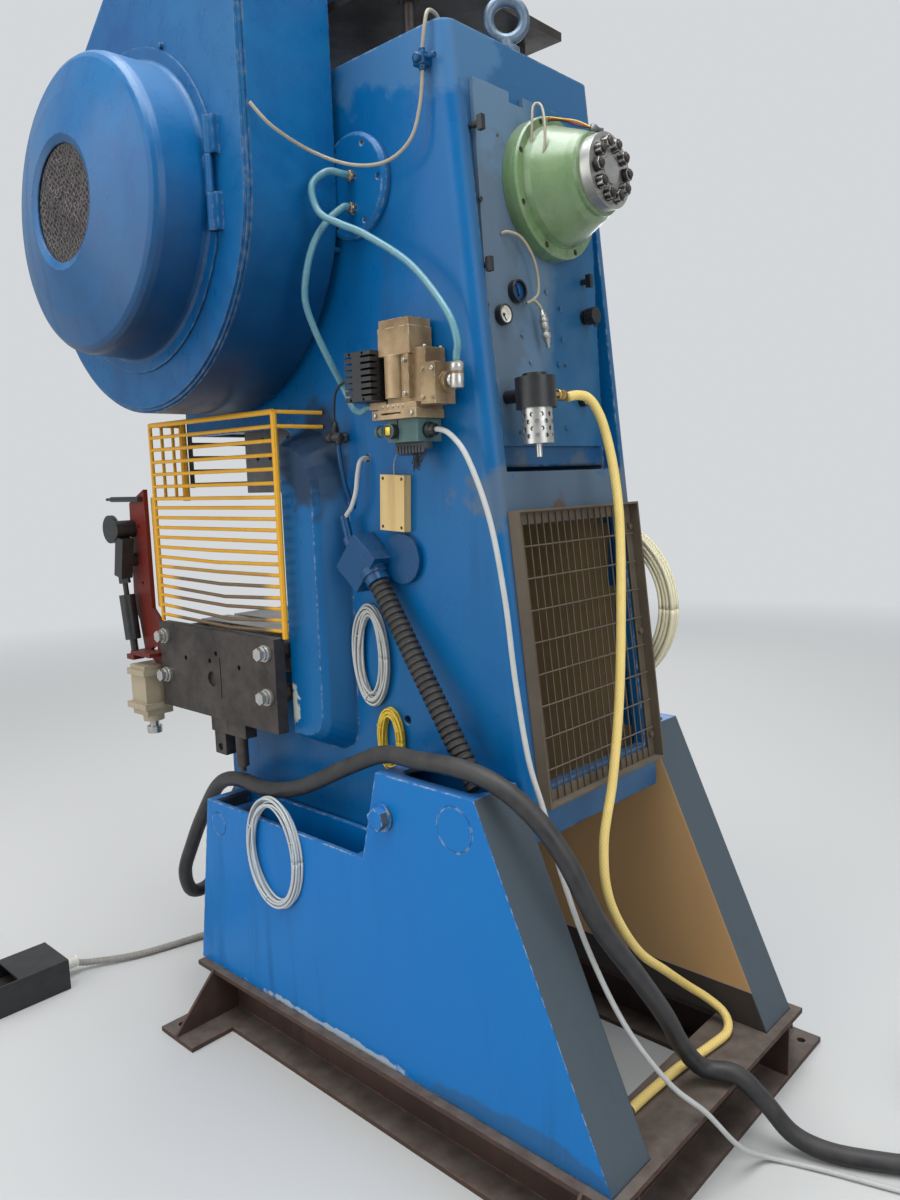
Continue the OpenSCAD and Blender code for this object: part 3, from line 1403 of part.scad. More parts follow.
base_frame();
leg_right();
leg_left();
leg_fasteners();
press_frame();
head_cover();
rear_panel();
latch_upper();
latch_lower();
latch_far();
panel_gauges();
gauge_needle();
regulator_knob();
bell_housing();
bell_flange();
lifting_eye();
filter_head();
filter_bowl();
grille_frame();
grille_mesh();
valve_body();
valve_silencer();
valve_box();
manifold_plate();
service_lines();
terminal_box();
conduit_box();
ribbed_conduit();
side_guard();
front_guard();
bolster_plate();
feed_plate();
feed_bolts();
gate_bracket();
gate_cylinder();
gate_rod();
gate_linkage();
slide();
slide_gibs();
crankshaft();
connecting_rod();
main_bearings();
flywheel();
clutch_drum();
flywheel_housing();
dome_door();
net_filling();
drive_belts();
motor_plate();
motor();
motor_pulley();
pedal_box();
pedal_treadle();
pedal_conduit();
yellow_hose();
valve_cable();
supply_cable();
cord_coils();
cable_hanks();
tube_coil();
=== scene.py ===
import math
import bpy
import numpy as np
from mathutils import Matrix, Vector


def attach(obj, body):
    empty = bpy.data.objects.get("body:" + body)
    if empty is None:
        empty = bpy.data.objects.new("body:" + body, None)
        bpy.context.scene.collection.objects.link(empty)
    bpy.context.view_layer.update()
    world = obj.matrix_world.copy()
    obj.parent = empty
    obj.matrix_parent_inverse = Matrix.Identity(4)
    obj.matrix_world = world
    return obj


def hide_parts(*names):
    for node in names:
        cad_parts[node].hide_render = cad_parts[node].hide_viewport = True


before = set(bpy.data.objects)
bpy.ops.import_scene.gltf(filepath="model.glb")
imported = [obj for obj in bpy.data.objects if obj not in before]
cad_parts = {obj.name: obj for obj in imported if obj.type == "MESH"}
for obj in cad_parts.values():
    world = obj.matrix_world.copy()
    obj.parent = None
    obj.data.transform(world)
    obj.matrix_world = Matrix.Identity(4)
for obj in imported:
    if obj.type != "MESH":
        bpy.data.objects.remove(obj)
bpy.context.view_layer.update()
print("packed press loaded,", len(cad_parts), "nodes")

# the camera stands behind the press on the flywheel side, where the photograph was taken
cameraView = {"place": (1.767, 1.577, 1.550), "turn": 132.97, "down": 7.69, "roll": -1.82, "lens": 27.44,
    "sensor": 36.0}


def makeCamera(view):
    # right, down and forward directions of the picture from a turn, a tilt down and a roll
    turn, down, roll = (math.radians(view[k]) for k in ("turn", "down", "roll"))
    ahead = np.array([-math.sin(turn), math.cos(turn), 0.0])
    level = np.array([math.cos(turn), math.sin(turn), 0.0])
    upright = np.array([0.0, 0.0, 1.0])
    forward = math.cos(down) * ahead - math.sin(down) * upright
    top = math.sin(down) * ahead + math.cos(down) * upright
    right = math.cos(roll) * level + math.sin(roll) * top
    up = -math.sin(roll) * level + math.cos(roll) * top
    data = bpy.data.cameras.new("photoCamera")
    data.lens = view["lens"]
    data.sensor_width = view["sensor"]
    data.clip_end = 100.0
    camera = bpy.data.objects.new("photoCamera", data)
    bpy.context.scene.collection.objects.link(camera)
    matrix = np.eye(4)
    matrix[:3, 0], matrix[:3, 1], matrix[:3, 2], matrix[:3, 3] = right, up, -forward, view["place"]
    camera.matrix_world = Matrix([list(row) for row in matrix])
    bpy.context.scene.camera = camera


makeCamera(cameraView)
print("camera set")


# meshes from arrays

def makePiece(name, points, faces, finish, body="machine", slot=None, uv=None):
    # one object at the origin from an array of points and an array or list of faces, riding on a body
    mesh = bpy.data.meshes.new(name)
    mesh.from_pydata(np.asarray(points, float).tolist(), [], [list(map(int, f)) for f in faces])
    if uv is not None:
        layer = mesh.uv_layers.new(name="along")
        corner = np.zeros(len(mesh.loops), np.int32)
        mesh.loops.foreach_get("vertex_index", corner)
        layer.data.foreach_set("uv", np.asarray(uv, np.float32)[corner].ravel())
    mesh.polygons.foreach_set("use_smooth", np.full(len(mesh.polygons), True))
    mesh.update()
    piece = bpy.data.objects.new(name, mesh)
    bpy.context.scene.collection.objects.link(piece)
    mesh.materials.append(finishes[finish])
    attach(piece, body)
    return piece


def gridFaces(rows, cols, wrap=True, offset=0):
    # quads between neighbouring rows of points, the columns closed in a ring where wrap is set
    i = np.arange(rows - 1)[:, None]
    k = np.arange(cols if wrap else cols - 1)[None, :]
    n = (k + 1) % cols
    quads = np.stack(np.broadcast_arrays(i * cols + k, i * cols + n, (i + 1) * cols + n, (i + 1) * cols + k), -1)
    return quads.reshape(-1, 4) + offset


class Heap:
    # gathers the points and faces of many small shapes that become one piece
    def __init__(self):
        self.points, self.faces, self.count = [], [], 0

    def add(self, points, faces):
        points = np.asarray(points, float).reshape(-1, 3)
        self.points.append(points)
        self.faces += [tuple(int(v) + self.count for v in f) for f in faces]
        self.count += len(points)

    def piece(self, name, finish, **more):
        return makePiece(name, np.concatenate(self.points), self.faces, finish, **more)


def smoothRoute(points, step):
    # Catmull-Rom curve through the route points, the same as the source's sweep uses
    p = np.asarray(points, float)
    out = []
    for i in range(len(p) - 1):
        a, b, c, d = p[max(i - 1, 0)], p[i], p[i + 1], p[min(i + 2, len(p) - 1)]
        n = max(1, int(round(np.linalg.norm(c - b) / step)))
        t = (np.arange(n) / n)[:, None]
        out.append(0.5 * (2 * b + (c - a) * t + (2 * a - 5 * b + 4 * c - d) * t * t
            + (3 * b - a - 3 * c + d) * t ** 3))
    return np.concatenate(out + [p[-1:]])


def evenly(path, step):
    # the same line with its points a fixed distance apart
    path = np.asarray(path, float)
    run = np.concatenate([[0], np.cumsum(np.linalg.norm(np.diff(path, axis=0), axis=1))])
    n = max(2, int(round(run[-1] / step)) + 1)
    at = np.linspace(0, run[-1], n)
    return np.stack([np.interp(at, run, path[:, k]) for k in range(3)], 1)


def pathLength(path):
    return float(np.linalg.norm(np.diff(np.asarray(path, float), axis=0), axis=1).sum())


def tubeArrays(path, radius, sides=12):
    # a ring of points round every path point, each ring turned as little as it can be from the last, with closed ends
    path = np.asarray(path, float)
    n = len(path)
    radius = np.broadcast_to(np.asarray(radius, float), (n,))
    tangent = np.gradient(path, axis=0)
    tangent /= np.linalg.norm(tangent, axis=1)[:, None] + 1e-12
    side = np.array([0.0, 0.0, 1.0]) if abs(tangent[0, 2]) < 0.9 else np.array([1.0, 0.0, 0.0])
    frames = []
    for t in tangent:
        side = side - side.dot(t) * t
        side /= np.linalg.norm(side)
        frames.append(side)
    u = np.array(frames)
    w = np.cross(tangent, u)
    turn = np.arange(sides) * 2 * math.pi / sides
    rings = path[:, None] + radius[:, None, None] * (np.cos(turn)[None, :, None] * u[:, None] + np.sin(turn)[None, :,
        None] * w[:, None])
    faces = gridFaces(n, sides).tolist() + [list(range(sides))[::-1], list(range((n - 1) * sides, n * sides))]
    run = np.concatenate([[0], np.cumsum(np.linalg.norm(np.diff(path, axis=0), axis=1))])
    uv = np.stack([np.broadcast_to(np.arange(sides) / sides, (n, sides)), np.broadcast_to(run[:, None], (n, sides))],
        -1)
    return rings.reshape(-1, 3), faces, uv.reshape(-1, 2)


def latheArrays(profile, start, axis, sides=32):
    # a profile of (radius, distance along the axis) pairs turned about the axis through start; ends of zero radius
    # close it
    profile = np.asarray(profile, float)
    axis = np.asarray(axis, float) / np.linalg.norm(axis)
    side = np.cross(axis, [0.0, 0.0, 1.0] if abs(axis[2]) < 0.9 else [1.0, 0.0, 0.0])
    side /= np.linalg.norm(side)
    w = np.cross(axis, side)
    turn = np.arange(sides) * 2 * math.pi / sides
    around = np.cos(turn)[:, None] * side + np.sin(turn)[:, None] * w
    rings = np.asarray(start, float) + profile[:, 1, None, None] * axis + profile[:, 0, None, None] * around[None]
    faces = gridFaces(len(profile), sides).tolist()
    return rings.reshape(-1, 3), faces + [list(range(sides))[::-1], list(range((len(profile) - 1) * sides,
        len(profile) * sides))]


def slabArrays(low, high):
    # the eight corners and six outward faces of a block
    (a, b, c), (d, e, f) = low, high
    points = [(a, b, c), (d, b, c), (d, e, c), (a, e, c), (a, b, f), (d, b, f), (d, e, f), (a, e, f)]
    return points, [(0, 3, 2, 1), (4, 5, 6, 7), (0, 1, 5, 4), (1, 2, 6, 5), (2, 3, 7, 6), (3, 0, 4, 7)]


def hexArrays(across, height, start, axis):
    # a hexagon head with a domed top: a six sided lathe whose corners are cut back a little at the top
    r = across / 2 / math.cos(math.radians(30))
    return latheArrays([(r, 0), (r, height * 0.86), (r * 0.9, height), (r * 0.02, height * 1.001)], start, axis, 6)


def bevelled(piece, width, segments=2, angle=35):
    # rounds the edges of a piece that are sharper than the angle
    edge = piece.modifiers.new("roundEdges", "BEVEL")
    edge.width, edge.segments, edge.limit_method, edge.angle_limit = width, segments, "ANGLE", math.radians(angle)
    return piece


# shader building

def addNode(tree, kind, settings=None, **inputs):
    node = tree.nodes.new(kind)
    for key, value in (settings or {}).items():
        setattr(node, key, value)
    for key, value in inputs.items():
        socket = node.inputs[int(key[1:])] if key[0] == "n" and key[1:].isdigit() else node.inputs[key.replace("_",
            " ")]
        if isinstance(value, bpy.types.NodeSocket):
            tree.links.new(value, socket)
        else:
            socket.default_value = value
    return node


def maths(tree, operation, a, b=0.0, clamp=False):
    return addNode(tree, "ShaderNodeMath", {"operation": operation, "use_clamp": clamp}, n0=a, n1=b).outputs[0]


def times(tree, a, b, clamp=False):
    return maths(tree, "MULTIPLY", a, b, clamp)


def plus(tree, a, b, clamp=False):
    return maths(tree, "ADD", a, b, clamp)


def less(tree, a, b):
    return maths(tree, "SUBTRACT", a, b)


def vectorMaths(tree, operation, a, b=(0.0, 0.0, 0.0), output=0):
    return addNode(tree, "ShaderNodeVectorMath", {"operation": operation}, n0=a, n1=b).outputs[output]


def objectPoint(tree):
    return addNode(tree, "ShaderNodeTexCoord").outputs["Object"]


def faceNormal(tree):
    return addNode(tree, "ShaderNodeNewGeometry").outputs["Normal"]


def axes(tree, vector):
    # the three parts of a vector as separate values
    return addNode(tree, "ShaderNodeSeparateXYZ", None, n0=vector).outputs


def spread(tree, value, low, high, toLow=0.0, toHigh=1.0):
    # moves a value from one range to another and cuts it off at the ends
    return addNode(tree, "ShaderNodeMapRange", {"clamp": True}, n0=value, n1=low, n2=high, n3=toLow,
        n4=toHigh).outputs[0]


def blendColours(tree, amount, a, b):
    node = addNode(tree, "ShaderNodeMix", {"data_type": "RGBA"}, n0=amount, n6=a, n7=b)
    return node.outputs[2]


def noiseOf(tree, vector, scale, detail=3.0, rough=0.55):
    return addNode(tree, "ShaderNodeTexNoise", None, Vector=vector, Scale=scale, Detail=detail,
        Roughness=rough).outputs[0]


def stretched(tree, vector, scale):
    return addNode(tree, "ShaderNodeMapping", None, Vector=vector, Scale=scale).outputs[0]


def newGroup(name, inputs, outputs):
    kinds = {"value": "NodeSocketFloat", "colour": "NodeSocketColor", "vector": "NodeSocketVector"}
    tree = bpy.data.node_groups.new(name, "ShaderNodeTree")
    for label, kind, default in inputs:
        socket = tree.interface.new_socket(label, in_out="INPUT", socket_type=kinds[kind])
        socket.default_value = default
    for label, kind in outputs:
        tree.interface.new_socket(label, in_out="OUTPUT", socket_type=kinds[kind])
    return tree, tree.nodes.new("NodeGroupInput").outputs, tree.nodes.new("NodeGroupOutput").inputs


def edgeTest(tree, reach, face):
    # normals rounded over the edges within reach, and how far each is turned from the face's own
    rounded = addNode(tree, "ShaderNodeBevel", {"samples": 4}, Radius=reach).outputs[0]
    return rounded, less(tree, 1.0, vectorMaths(tree, "DOT_PRODUCT", rounded, face, "Value"))


def buildPaintGroup():
    # old enamel: mottled colour, rain streaks, chips with dark edges, worn edges and dust on upward faces
    tree, given, out = newGroup("agedEnamel", [("Paint", "colour", (0.03, 0.2, 0.5, 1)),
        ("Faded", "colour", (0.1, 0.3, 0.5, 1)), ("Grime", "colour", (0.03, 0.035, 0.04, 1)),
        ("Chip", "colour", (0.6, 0.6, 0.58, 1)), ("Mottle", "value", 0.4), ("Streaks", "value", 0.3),
        ("Chips", "value", 0.2), ("Wear", "value", 0.4), ("Dust", "value", 0.3), ("Grain", "value", 1.0),
        ("Edge", "value", 0.003), ("Shine", "value", 0.32)], [("Colour", "colour"), ("Roughness", "value"),
        ("Height", "value"), ("Normal", "vector")])
    at = objectPoint(tree)
    face = faceNormal(tree)
    broad = spread(tree, noiseOf(tree, at, 2.3, 4.0), 0.36, 0.66)
    close = spread(tree, noiseOf(tree, at, 13.0, 5.0, 0.62), 0.4, 0.68)
    mix = times(tree, plus(tree, times(tree, broad, 0.62), times(tree, close, 0.38)), given["Mottle"])
    colour = blendColours(tree, mix, given["Paint"], given["Faded"])
    fall = spread(tree, noiseOf(tree, stretched(tree, at, (11.0, 11.0, 0.9)), 1.6, 5.0, 0.6), 0.5, 0.78)
    fall = times(tree, fall, spread(tree, noiseOf(tree, at, 1.7, 2.0), 0.4, 0.62))
    colour = blendColours(tree, times(tree, fall, given["Streaks"], True), colour, given["Grime"])
    rounded, sharp = edgeTest(tree, given["Edge"], face)
    speck = noiseOf(tree, stretched(tree, at, given["Grain"]), 46.0, 6.0, 0.65)
    edge = times(tree, spread(tree, sharp, 0.02, 0.16), spread(tree, speck, 0.47, 0.6))
    edge = times(tree, edge, given["Wear"], True)
    cut = less(tree, 0.83, times(tree, given["Chips"], 0.16))
    chip = spread(tree, less(tree, noiseOf(tree, at, 31.0, 7.0, 0.6), cut), 0.0, 0.02)
    chip = times(tree, chip, spread(tree, noiseOf(tree, at, 3.7, 2.0), 0.48, 0.6))
    bare = maths(tree, "MAXIMUM", edge, chip)
    colour = blendColours(tree, bare, colour, given["Chip"])
    level = axes(tree, face)[2]
    lying = times(tree, spread(tree, level, 0.5, 0.98), spread(tree, noiseOf(tree, at, 24.0, 4.0), 0.3, 0.7, 0.35,
        1.0))
    lying = times(tree, lying, given["Dust"], True)
    colour = blendColours(tree, lying, colour, (0.27, 0.25, 0.22, 1))
    tree.links.new(colour, out["Colour"])
    rough = plus(tree, given["Shine"], times(tree, close, 0.1))
    rough = plus(tree, rough, times(tree, plus(tree, bare, plus(tree, fall, lying)), 0.3), True)
    tree.links.new(rough, out["Roughness"])
    height = less(tree, times(tree, noiseOf(tree, at, 90.0, 3.0), 0.35), times(tree, bare, 0.6))
    tree.links.new(plus(tree, height, times(tree, broad, 1.3)), out["Height"])
    tree.links.new(rounded, out["Normal"])
    return tree


def buildMetalGroup():
    # bare or oiled steel: cloudy colour, fine brushing, pits, rust and bright edges
    tree, given, out = newGroup("workedMetal", [("Metal", "colour", (0.5, 0.5, 0.5, 1)),
        ("Dark", "colour", (0.2, 0.19, 0.18, 1)), ("Rust", "colour", (0.16, 0.06, 0.025, 1)),
        ("Rusting", "value", 0.2), ("Clouds", "value", 0.5), ("Brush", "vector", (1, 1, 1)), ("Wear", "value", 0.5),
        ("Edge", "value", 0.002), ("Shine", "value", 0.35)], [("Colour", "colour"), ("Roughness", "value"),
        ("Height", "value"), ("Normal", "vector"), ("Rusty", "value")])
    at = objectPoint(tree)
    face = faceNormal(tree)
    cloud = spread(tree, noiseOf(tree, at, 9.0, 5.0, 0.6), 0.36, 0.66)
    colour = blendColours(tree, times(tree, cloud, given["Clouds"]), given["Metal"], given["Dark"])
    brush = noiseOf(tree, stretched(tree, at, given["Brush"]), 40.0, 4.0, 0.6)
    colour = blendColours(tree, spread(tree, brush, 0.35, 0.7, 0.0, 0.35), colour, given["Dark"])
    cut = less(tree, 0.72, times(tree, given["Rusting"], 0.34))
    rust = spread(tree, less(tree, noiseOf(tree, at, 16.0, 8.0, 0.68), cut), 0.0, 0.07)
    colour = blendColours(tree, rust, colour, given["Rust"])
    rounded, sharp = edgeTest(tree, given["Edge"], face)
    edge = times(tree, times(tree, spread(tree, sharp, 0.03, 0.2), given["Wear"]), spread(tree,
        noiseOf(tree, at, 60.0, 4.0), 0.35, 0.6), True)
    colour = blendColours(tree, edge, colour, given["Metal"])
    tree.links.new(colour, out["Colour"])
    rough = plus(tree, given["Shine"], times(tree, cloud, 0.16))
    tree.links.new(plus(tree, rough, times(tree, rust, 0.4), True), out["Roughness"])
    tree.links.new(plus(tree, times(tree, brush, 0.5), rust), out["Height"])
    tree.links.new(rounded, out["Normal"])
    tree.links.new(rust, out["Rusty"])
    return tree


def buildSoftGroup():
    # rubber and plastic: faint clouds, dust that gathers in patches, fine grain
    tree, given, out = newGroup("rubberAndPlastic", [("Colour", "colour", (0.02, 0.02, 0.02, 1)),
        ("Dusty", "colour", (0.2, 0.19, 0.17, 1)), ("Dust", "value", 0.3), ("Shine", "value", 0.45)],
        [("Colour", "colour"), ("Roughness", "value"), ("Height", "value")])
    at = objectPoint(tree)
    face = faceNormal(tree)
    level = axes(tree, face)[2]
    patch = spread(tree, noiseOf(tree, at, 27.0, 5.0, 0.62), 0.38, 0.7)
    dust = times(tree, plus(tree, times(tree, patch, 0.6), spread(tree, level, 0.2, 1.0, 0.0, 0.6)), given["Dust"],
        True)
    tree.links.new(blendColours(tree, dust, given["Colour"], given["Dusty"]), out["Colour"])
    tree.links.new(plus(tree, given["Shine"], times(tree, dust, 0.5), True), out["Roughness"])
    tree.links.new(noiseOf(tree, at, 140.0, 3.0), out["Height"])
    return tree


def buildPatchGroup():
    # a soft ragged patch round a centre, 1 inside and 0 outside its three radii
    tree, given, out = newGroup("raggedPatch", [("Centre", "vector", (0, 0, 0)), ("Radii", "vector", (0.1, 0.1, 0.1)),
        ("Ragged", "value", 0.5), ("Grain", "value", 22.0)], [("Mask", "value")])
    at = objectPoint(tree)
    away = vectorMaths(tree, "SUBTRACT", at, given["Centre"])
    away = vectorMaths(tree, "DIVIDE", away, given["Radii"])
    far = vectorMaths(tree, "LENGTH", away, output="Value")
    torn = times(tree, less(tree, addNode(tree, "ShaderNodeTexNoise", None, Vector=at, Scale=given["Grain"],
        Detail=6.0, Roughness=0.65).outputs[0], 0.5), times(tree, given["Ragged"], 4.0))
    tree.links.new(spread(tree, plus(tree, far, torn), 1.12, 0.86), out["Mask"])
    return tree


def buildBoxGroup():
    # 1 inside a block given by its low and high corners, fading over the soft distance
    tree, given, out = newGroup("insideBlock", [("Low", "vector", (0, 0, 0)), ("High", "vector", (1, 1, 1)),
        ("Soft", "value", 0.01)], [("Mask", "value")])
    at = objectPoint(tree)
    over = vectorMaths(tree, "SUBTRACT", at, given["Low"])
    under = vectorMaths(tree, "SUBTRACT", given["High"], at)
    least = vectorMaths(tree, "MINIMUM", over, under)
    parts = axes(tree, least)
    depth = maths(tree, "MINIMUM", maths(tree, "MINIMUM", parts[0], parts[1]), parts[2])
    tree.links.new(maths(tree, "DIVIDE", depth, given["Soft"], True), out["Mask"])
    return tree


def buildFacingGroup():
    # 1 on faces that look the given way, fading between two cosines
    tree, given, out = newGroup("facingWay", [("Way", "vector", (0, 1, 0)), ("From", "value", 0.3),
        ("To", "value", 0.6)], [("Mask", "value")])
    face = addNode(tree, "ShaderNodeNewGeometry").outputs["True Normal"]
    cosine = vectorMaths(tree, "DOT_PRODUCT", face, given["Way"], "Value")
    tree.links.new(spread(tree, cosine, given["From"], given["To"]), out["Mask"])
    return tree


groups = {
    "facing": buildFacingGroup(),
    "paint": buildPaintGroup(),
    "metal": buildMetalGroup(),
    "soft": buildSoftGroup(),
    "patch": buildPatchGroup(),
    "block": buildBoxGroup()}
finishes = {}


def colour(r, g, b):
    # a colour written as the screen shows it, from 0 to 255, in the linear values that shaders use
    return tuple(c / 255 / 12.92 if c < 10 else ((c / 255 + 0.055) / 1.055) ** 2.4 for c in (r, g, b)) + (1.0,)


def startMaterial(name):
    material = bpy.data.materials.new(name)
    material.use_nodes = True
    shader = material.node_tree.nodes["Principled BSDF"]
    finishes[name] = material
    return material.node_tree, shader


def placeGroup(tree, group, **values):
    node = tree.nodes.new("ShaderNodeGroup")
    node.node_tree = groups[group]
    for key, value in values.items():
        socket = node.inputs[key]
        socket.default_value = colour(*value) if socket.type == "RGBA" else value
    return node


def bumpFrom(tree, height, strength, distance, normal=None):
    node = addNode(tree, "ShaderNodeBump", None, Strength=strength, Distance=distance, Height=height)
    if normal is not None:
        tree.links.new(normal, node.inputs["Normal"])
    return node.outputs[0]


def paintMaterial(name, bump=0.3, coat=0.0, metallic=0.0, shine=0.25, patches=(), **values):
    # aged enamel, with patches of another colour laid over it: (group, group values, colour, strength)
    tree, shader = startMaterial(name)
    paint = placeGroup(tree, "paint", **values)
    shade = paint.outputs["Colour"]
    rough = paint.outputs["Roughness"]
    for kind, where, tint, strength in patches:
        patch = placeGroup(tree, kind, **where)
        mask = times(tree, patch.outputs["Mask"], strength)
        shade = blendColours(tree, mask, shade, colour(*tint))
        rough = plus(tree, rough, times(tree, mask, 0.2), True)
    tree.links.new(shade, shader.inputs["Base Color"])
    tree.links.new(rough, shader.inputs["Roughness"])
    tree.links.new(bumpFrom(tree, paint.outputs["Height"], bump, 0.0015, paint.outputs["Normal"]),
        shader.inputs["Normal"])
    shader.inputs["Specular IOR Level"].default_value = shine
    shader.inputs["Coat Weight"].default_value = coat
    shader.inputs["Coat Roughness"].default_value = 0.33
    shader.inputs["Metallic"].default_value = metallic


def metalMaterial(name, metallic=0.85, bump=0.2, **values):
    tree, shader = startMaterial(name)
    metal = placeGroup(tree, "metal", **values)
    tree.links.new(metal.outputs["Colour"], shader.inputs["Base Color"])
    tree.links.new(metal.outputs["Roughness"], shader.inputs["Roughness"])
    shine = times(tree, less(tree, 1.0, metal.outputs["Rusty"]), metallic)
    tree.links.new(shine, shader.inputs["Metallic"])
    tree.links.new(bumpFrom(tree, metal.outputs["Height"], bump, 0.001, metal.outputs["Normal"]),
        shader.inputs["Normal"])


def softMaterial(name, bump=0.1, **values):
    tree, shader = startMaterial(name)
    soft = placeGroup(tree, "soft", **values)
    tree.links.new(soft.outputs["Colour"], shader.inputs["Base Color"])
    tree.links.new(soft.outputs["Roughness"], shader.inputs["Roughness"])
    tree.links.new(bumpFrom(tree, soft.outputs["Height"], bump, 0.0006), shader.inputs["Normal"])


# finishes of the press, colours as the photograph shows them, from 0 to 255: first the patches, then the tables

def patchAt(centre, radii, ragged, grain, tint, strength):
    return "patch", {"Centre": centre, "Radii": radii, "Ragged": ragged, "Grain": grain}, tint, strength


def blockAt(low, high, soft, tint, strength):
    return "block", {"Low": low, "High": high, "Soft": soft}, tint, strength


def facingAt(way, start, full, tint, strength):
    return "facing", {"Way": way, "From": start, "To": full}, tint, strength


# painted light: the faces inside the frame are painted pale beige for sunlight falling on them, in steps that follow
# the sloping rear wall
paintedSunInside = [blockAt((-0.24, -0.3, low), (0.24, rear, high), 0.002, (158, 134, 96), 1.0) for low, high,
    rear in [(0.5, 0.9, 0.352), (0.898, 1.08, 0.322), (1.078, 1.26, 0.303), (1.258, 1.42, 0.284),
    (1.418, 1.56, 0.27)]]

paintColumns = ("Paint", "Faded", "Grime", "Chip", "Mottle", "Streaks", "Chips", "Wear", "Dust", "Edge", "Shine")
paints = {
    "frameBlue": [(0, 90, 150), (8, 100, 152), (26, 44, 62), (186, 192, 192), 0.7, 0.5, 0.3, 0.9, 0.25, 0.008, 0.27],
    "housingBlue": [(0, 80, 138), (14, 108, 162), (22, 38, 56), (160, 170, 176), 0.8, 0.4, 0.2, 0.5, 0.1, 0.008,
        0.24],
    "legBlue": [(0, 108, 182), (0, 112, 178), (30, 50, 68), (200, 206, 206), 0.5, 0.35, 0.35, 1.0, 0.2, 0.007, 0.3],
    "panelBlue": [(14, 80, 124), (60, 104, 136), (32, 42, 54), (160, 166, 170), 0.8, 0.6, 0.3, 0.8, 0.2, 0.002, 0.34],
    "baseBrown": [(58, 46, 42), (86, 66, 56), (30, 24, 22), (150, 84, 52), 0.8, 0.4, 0.5, 0.9, 0.35, 0.004, 0.5],
    "grilleBrown": [(84, 76, 66), (110, 98, 82), (50, 42, 36), (120, 82, 56), 0.7, 0.5, 0.4, 0.6, 0.3, 0.002, 0.5],
    "bellGreen": [(92, 124, 78), (130, 152, 112), (58, 72, 54), (168, 172, 160), 0.8, 0.9, 0.4, 0.8, 0.5, 0.003,
        0.22],
    "valveGold": [(122, 98, 68), (206, 180, 140), (62, 46, 32), (226, 212, 186), 1.0, 0.9, 0.5, 1.3, 0.3, 0.0025,
        0.36],
    "wiringGreen": [(78, 104, 104), (98, 122, 120), (40, 50, 48), (140, 144, 140), 0.5, 0.4, 0.1, 0.4, 0.3, 0.0015,
        0.45],
    "boxTan": [(206, 176, 118), (222, 198, 148), (96, 76, 50), (70, 62, 52), 0.7, 0.7, 0.7, 0.8, 0.2, 0.001, 0.5],
    "conduitBlue": [(0, 62, 106), (6, 82, 128), (20, 34, 52), (150, 160, 168), 0.5, 0.3, 0.15, 0.4, 0.2, 0.003, 0.22],
    "guardYellow": [(226, 168, 44), (206, 148, 34), (96, 74, 42), (120, 112, 104), 0.5, 0.2, 0.5, 0.4, 0.15, 0.001,
        0.4],
    "bracketRed": [(112, 36, 28), (72, 34, 28), (34, 24, 22), (150, 140, 134), 0.6, 0.4, 0.5, 0.6, 0.2, 0.002, 0.4],
    "gateCream": [(158, 146, 124), (178, 166, 142), (80, 66, 50), (110, 90, 70), 0.6, 0.6, 0.3, 0.5, 0.3, 0.002,
        0.45],
    "motorBlue": [(26, 84, 140), (60, 108, 150), (36, 46, 58), (170, 174, 176), 0.5, 0.3, 0.15, 0.4, 0.6, 0.002,
        0.35]}
metalColumns = ("Metal", "Dark", "Rust", "Rusting", "Clouds", "Wear", "Edge", "Shine", "metallic")
metals = {
    "boltSteel": [(120, 136, 150), (44, 70, 100), None, 0.1, 0.6, 0.7, 0.0015, 0.36, 0.6],
    "silverSteel": [(206, 206, 202), (140, 138, 132), None, 0.05, 0.5, 0.5, 0.001, 0.28, 0.85],
    "darkSteel": [(80, 74, 70), (40, 37, 35), (96, 58, 42), 0.25, 0.7, 0.6, 0.0015, 0.4, 0.55],
    "brightSteel": [(188, 188, 184), (120, 116, 108), None, 0.12, 0.5, 0.5, 0.001, 0.25, 0.85],
    "castGrey": [(116, 122, 126), (74, 80, 84), None, 0.15, 0.7, 0.6, 0.002, 0.45, 0.5],
    "bronze": [(196, 150, 84), (120, 88, 48), (60, 70, 50), 0.1, 0.5, 0.5, 0.001, 0.32, 0.9],
    "brass": [(200, 168, 104), (136, 108, 62), (80, 66, 44), 0.08, 0.4, 0.6, 0.0008, 0.26, 0.9]}
softColumns = ("Colour", "Dusty", "Dust", "Shine")
softs = {
    "blackPlastic": [(26, 27, 30), (78, 76, 72), 0.3, 0.36],
    "blackRubber": [(24, 24, 26), (92, 86, 78), 0.35, 0.5],
    "supplyBlack": [(30, 31, 34), (88, 84, 80), 0.4, 0.42],
    "conduitGrey": [(150, 147, 140), (120, 112, 98), 0.5, 0.45],
    "cableGrey": [(186, 188, 186), (150, 144, 132), 0.45, 0.42],
    "lineTeal": [(82, 134, 148), (122, 144, 146), 0.4, 0.2],
    "lineBeige": [(158, 150, 132), (124, 108, 84), 0.5, 0.35],
    "leadYellow": [(222, 190, 60), (170, 140, 60), 0.4, 0.4],
    "leadBlue": [(60, 104, 150), (110, 120, 130), 0.3, 0.4],
    "leadRed": [(170, 48, 40), (130, 90, 80), 0.3, 0.4],
    "tubeClear": [(222, 216, 186), (190, 180, 140), 0.4, 0.2],
    "dialWhite": [(226, 224, 214), (190, 184, 166), 0.4, 0.4],
    "cableSilver": [(186, 192, 196), (176, 172, 160), 0.35, 0.42],
    "gripGrey": [(66, 70, 74), (100, 98, 92), 0.3, 0.5],
    "yellowPlain": [(232, 206, 70), (180, 160, 80), 0.2, 0.4]}
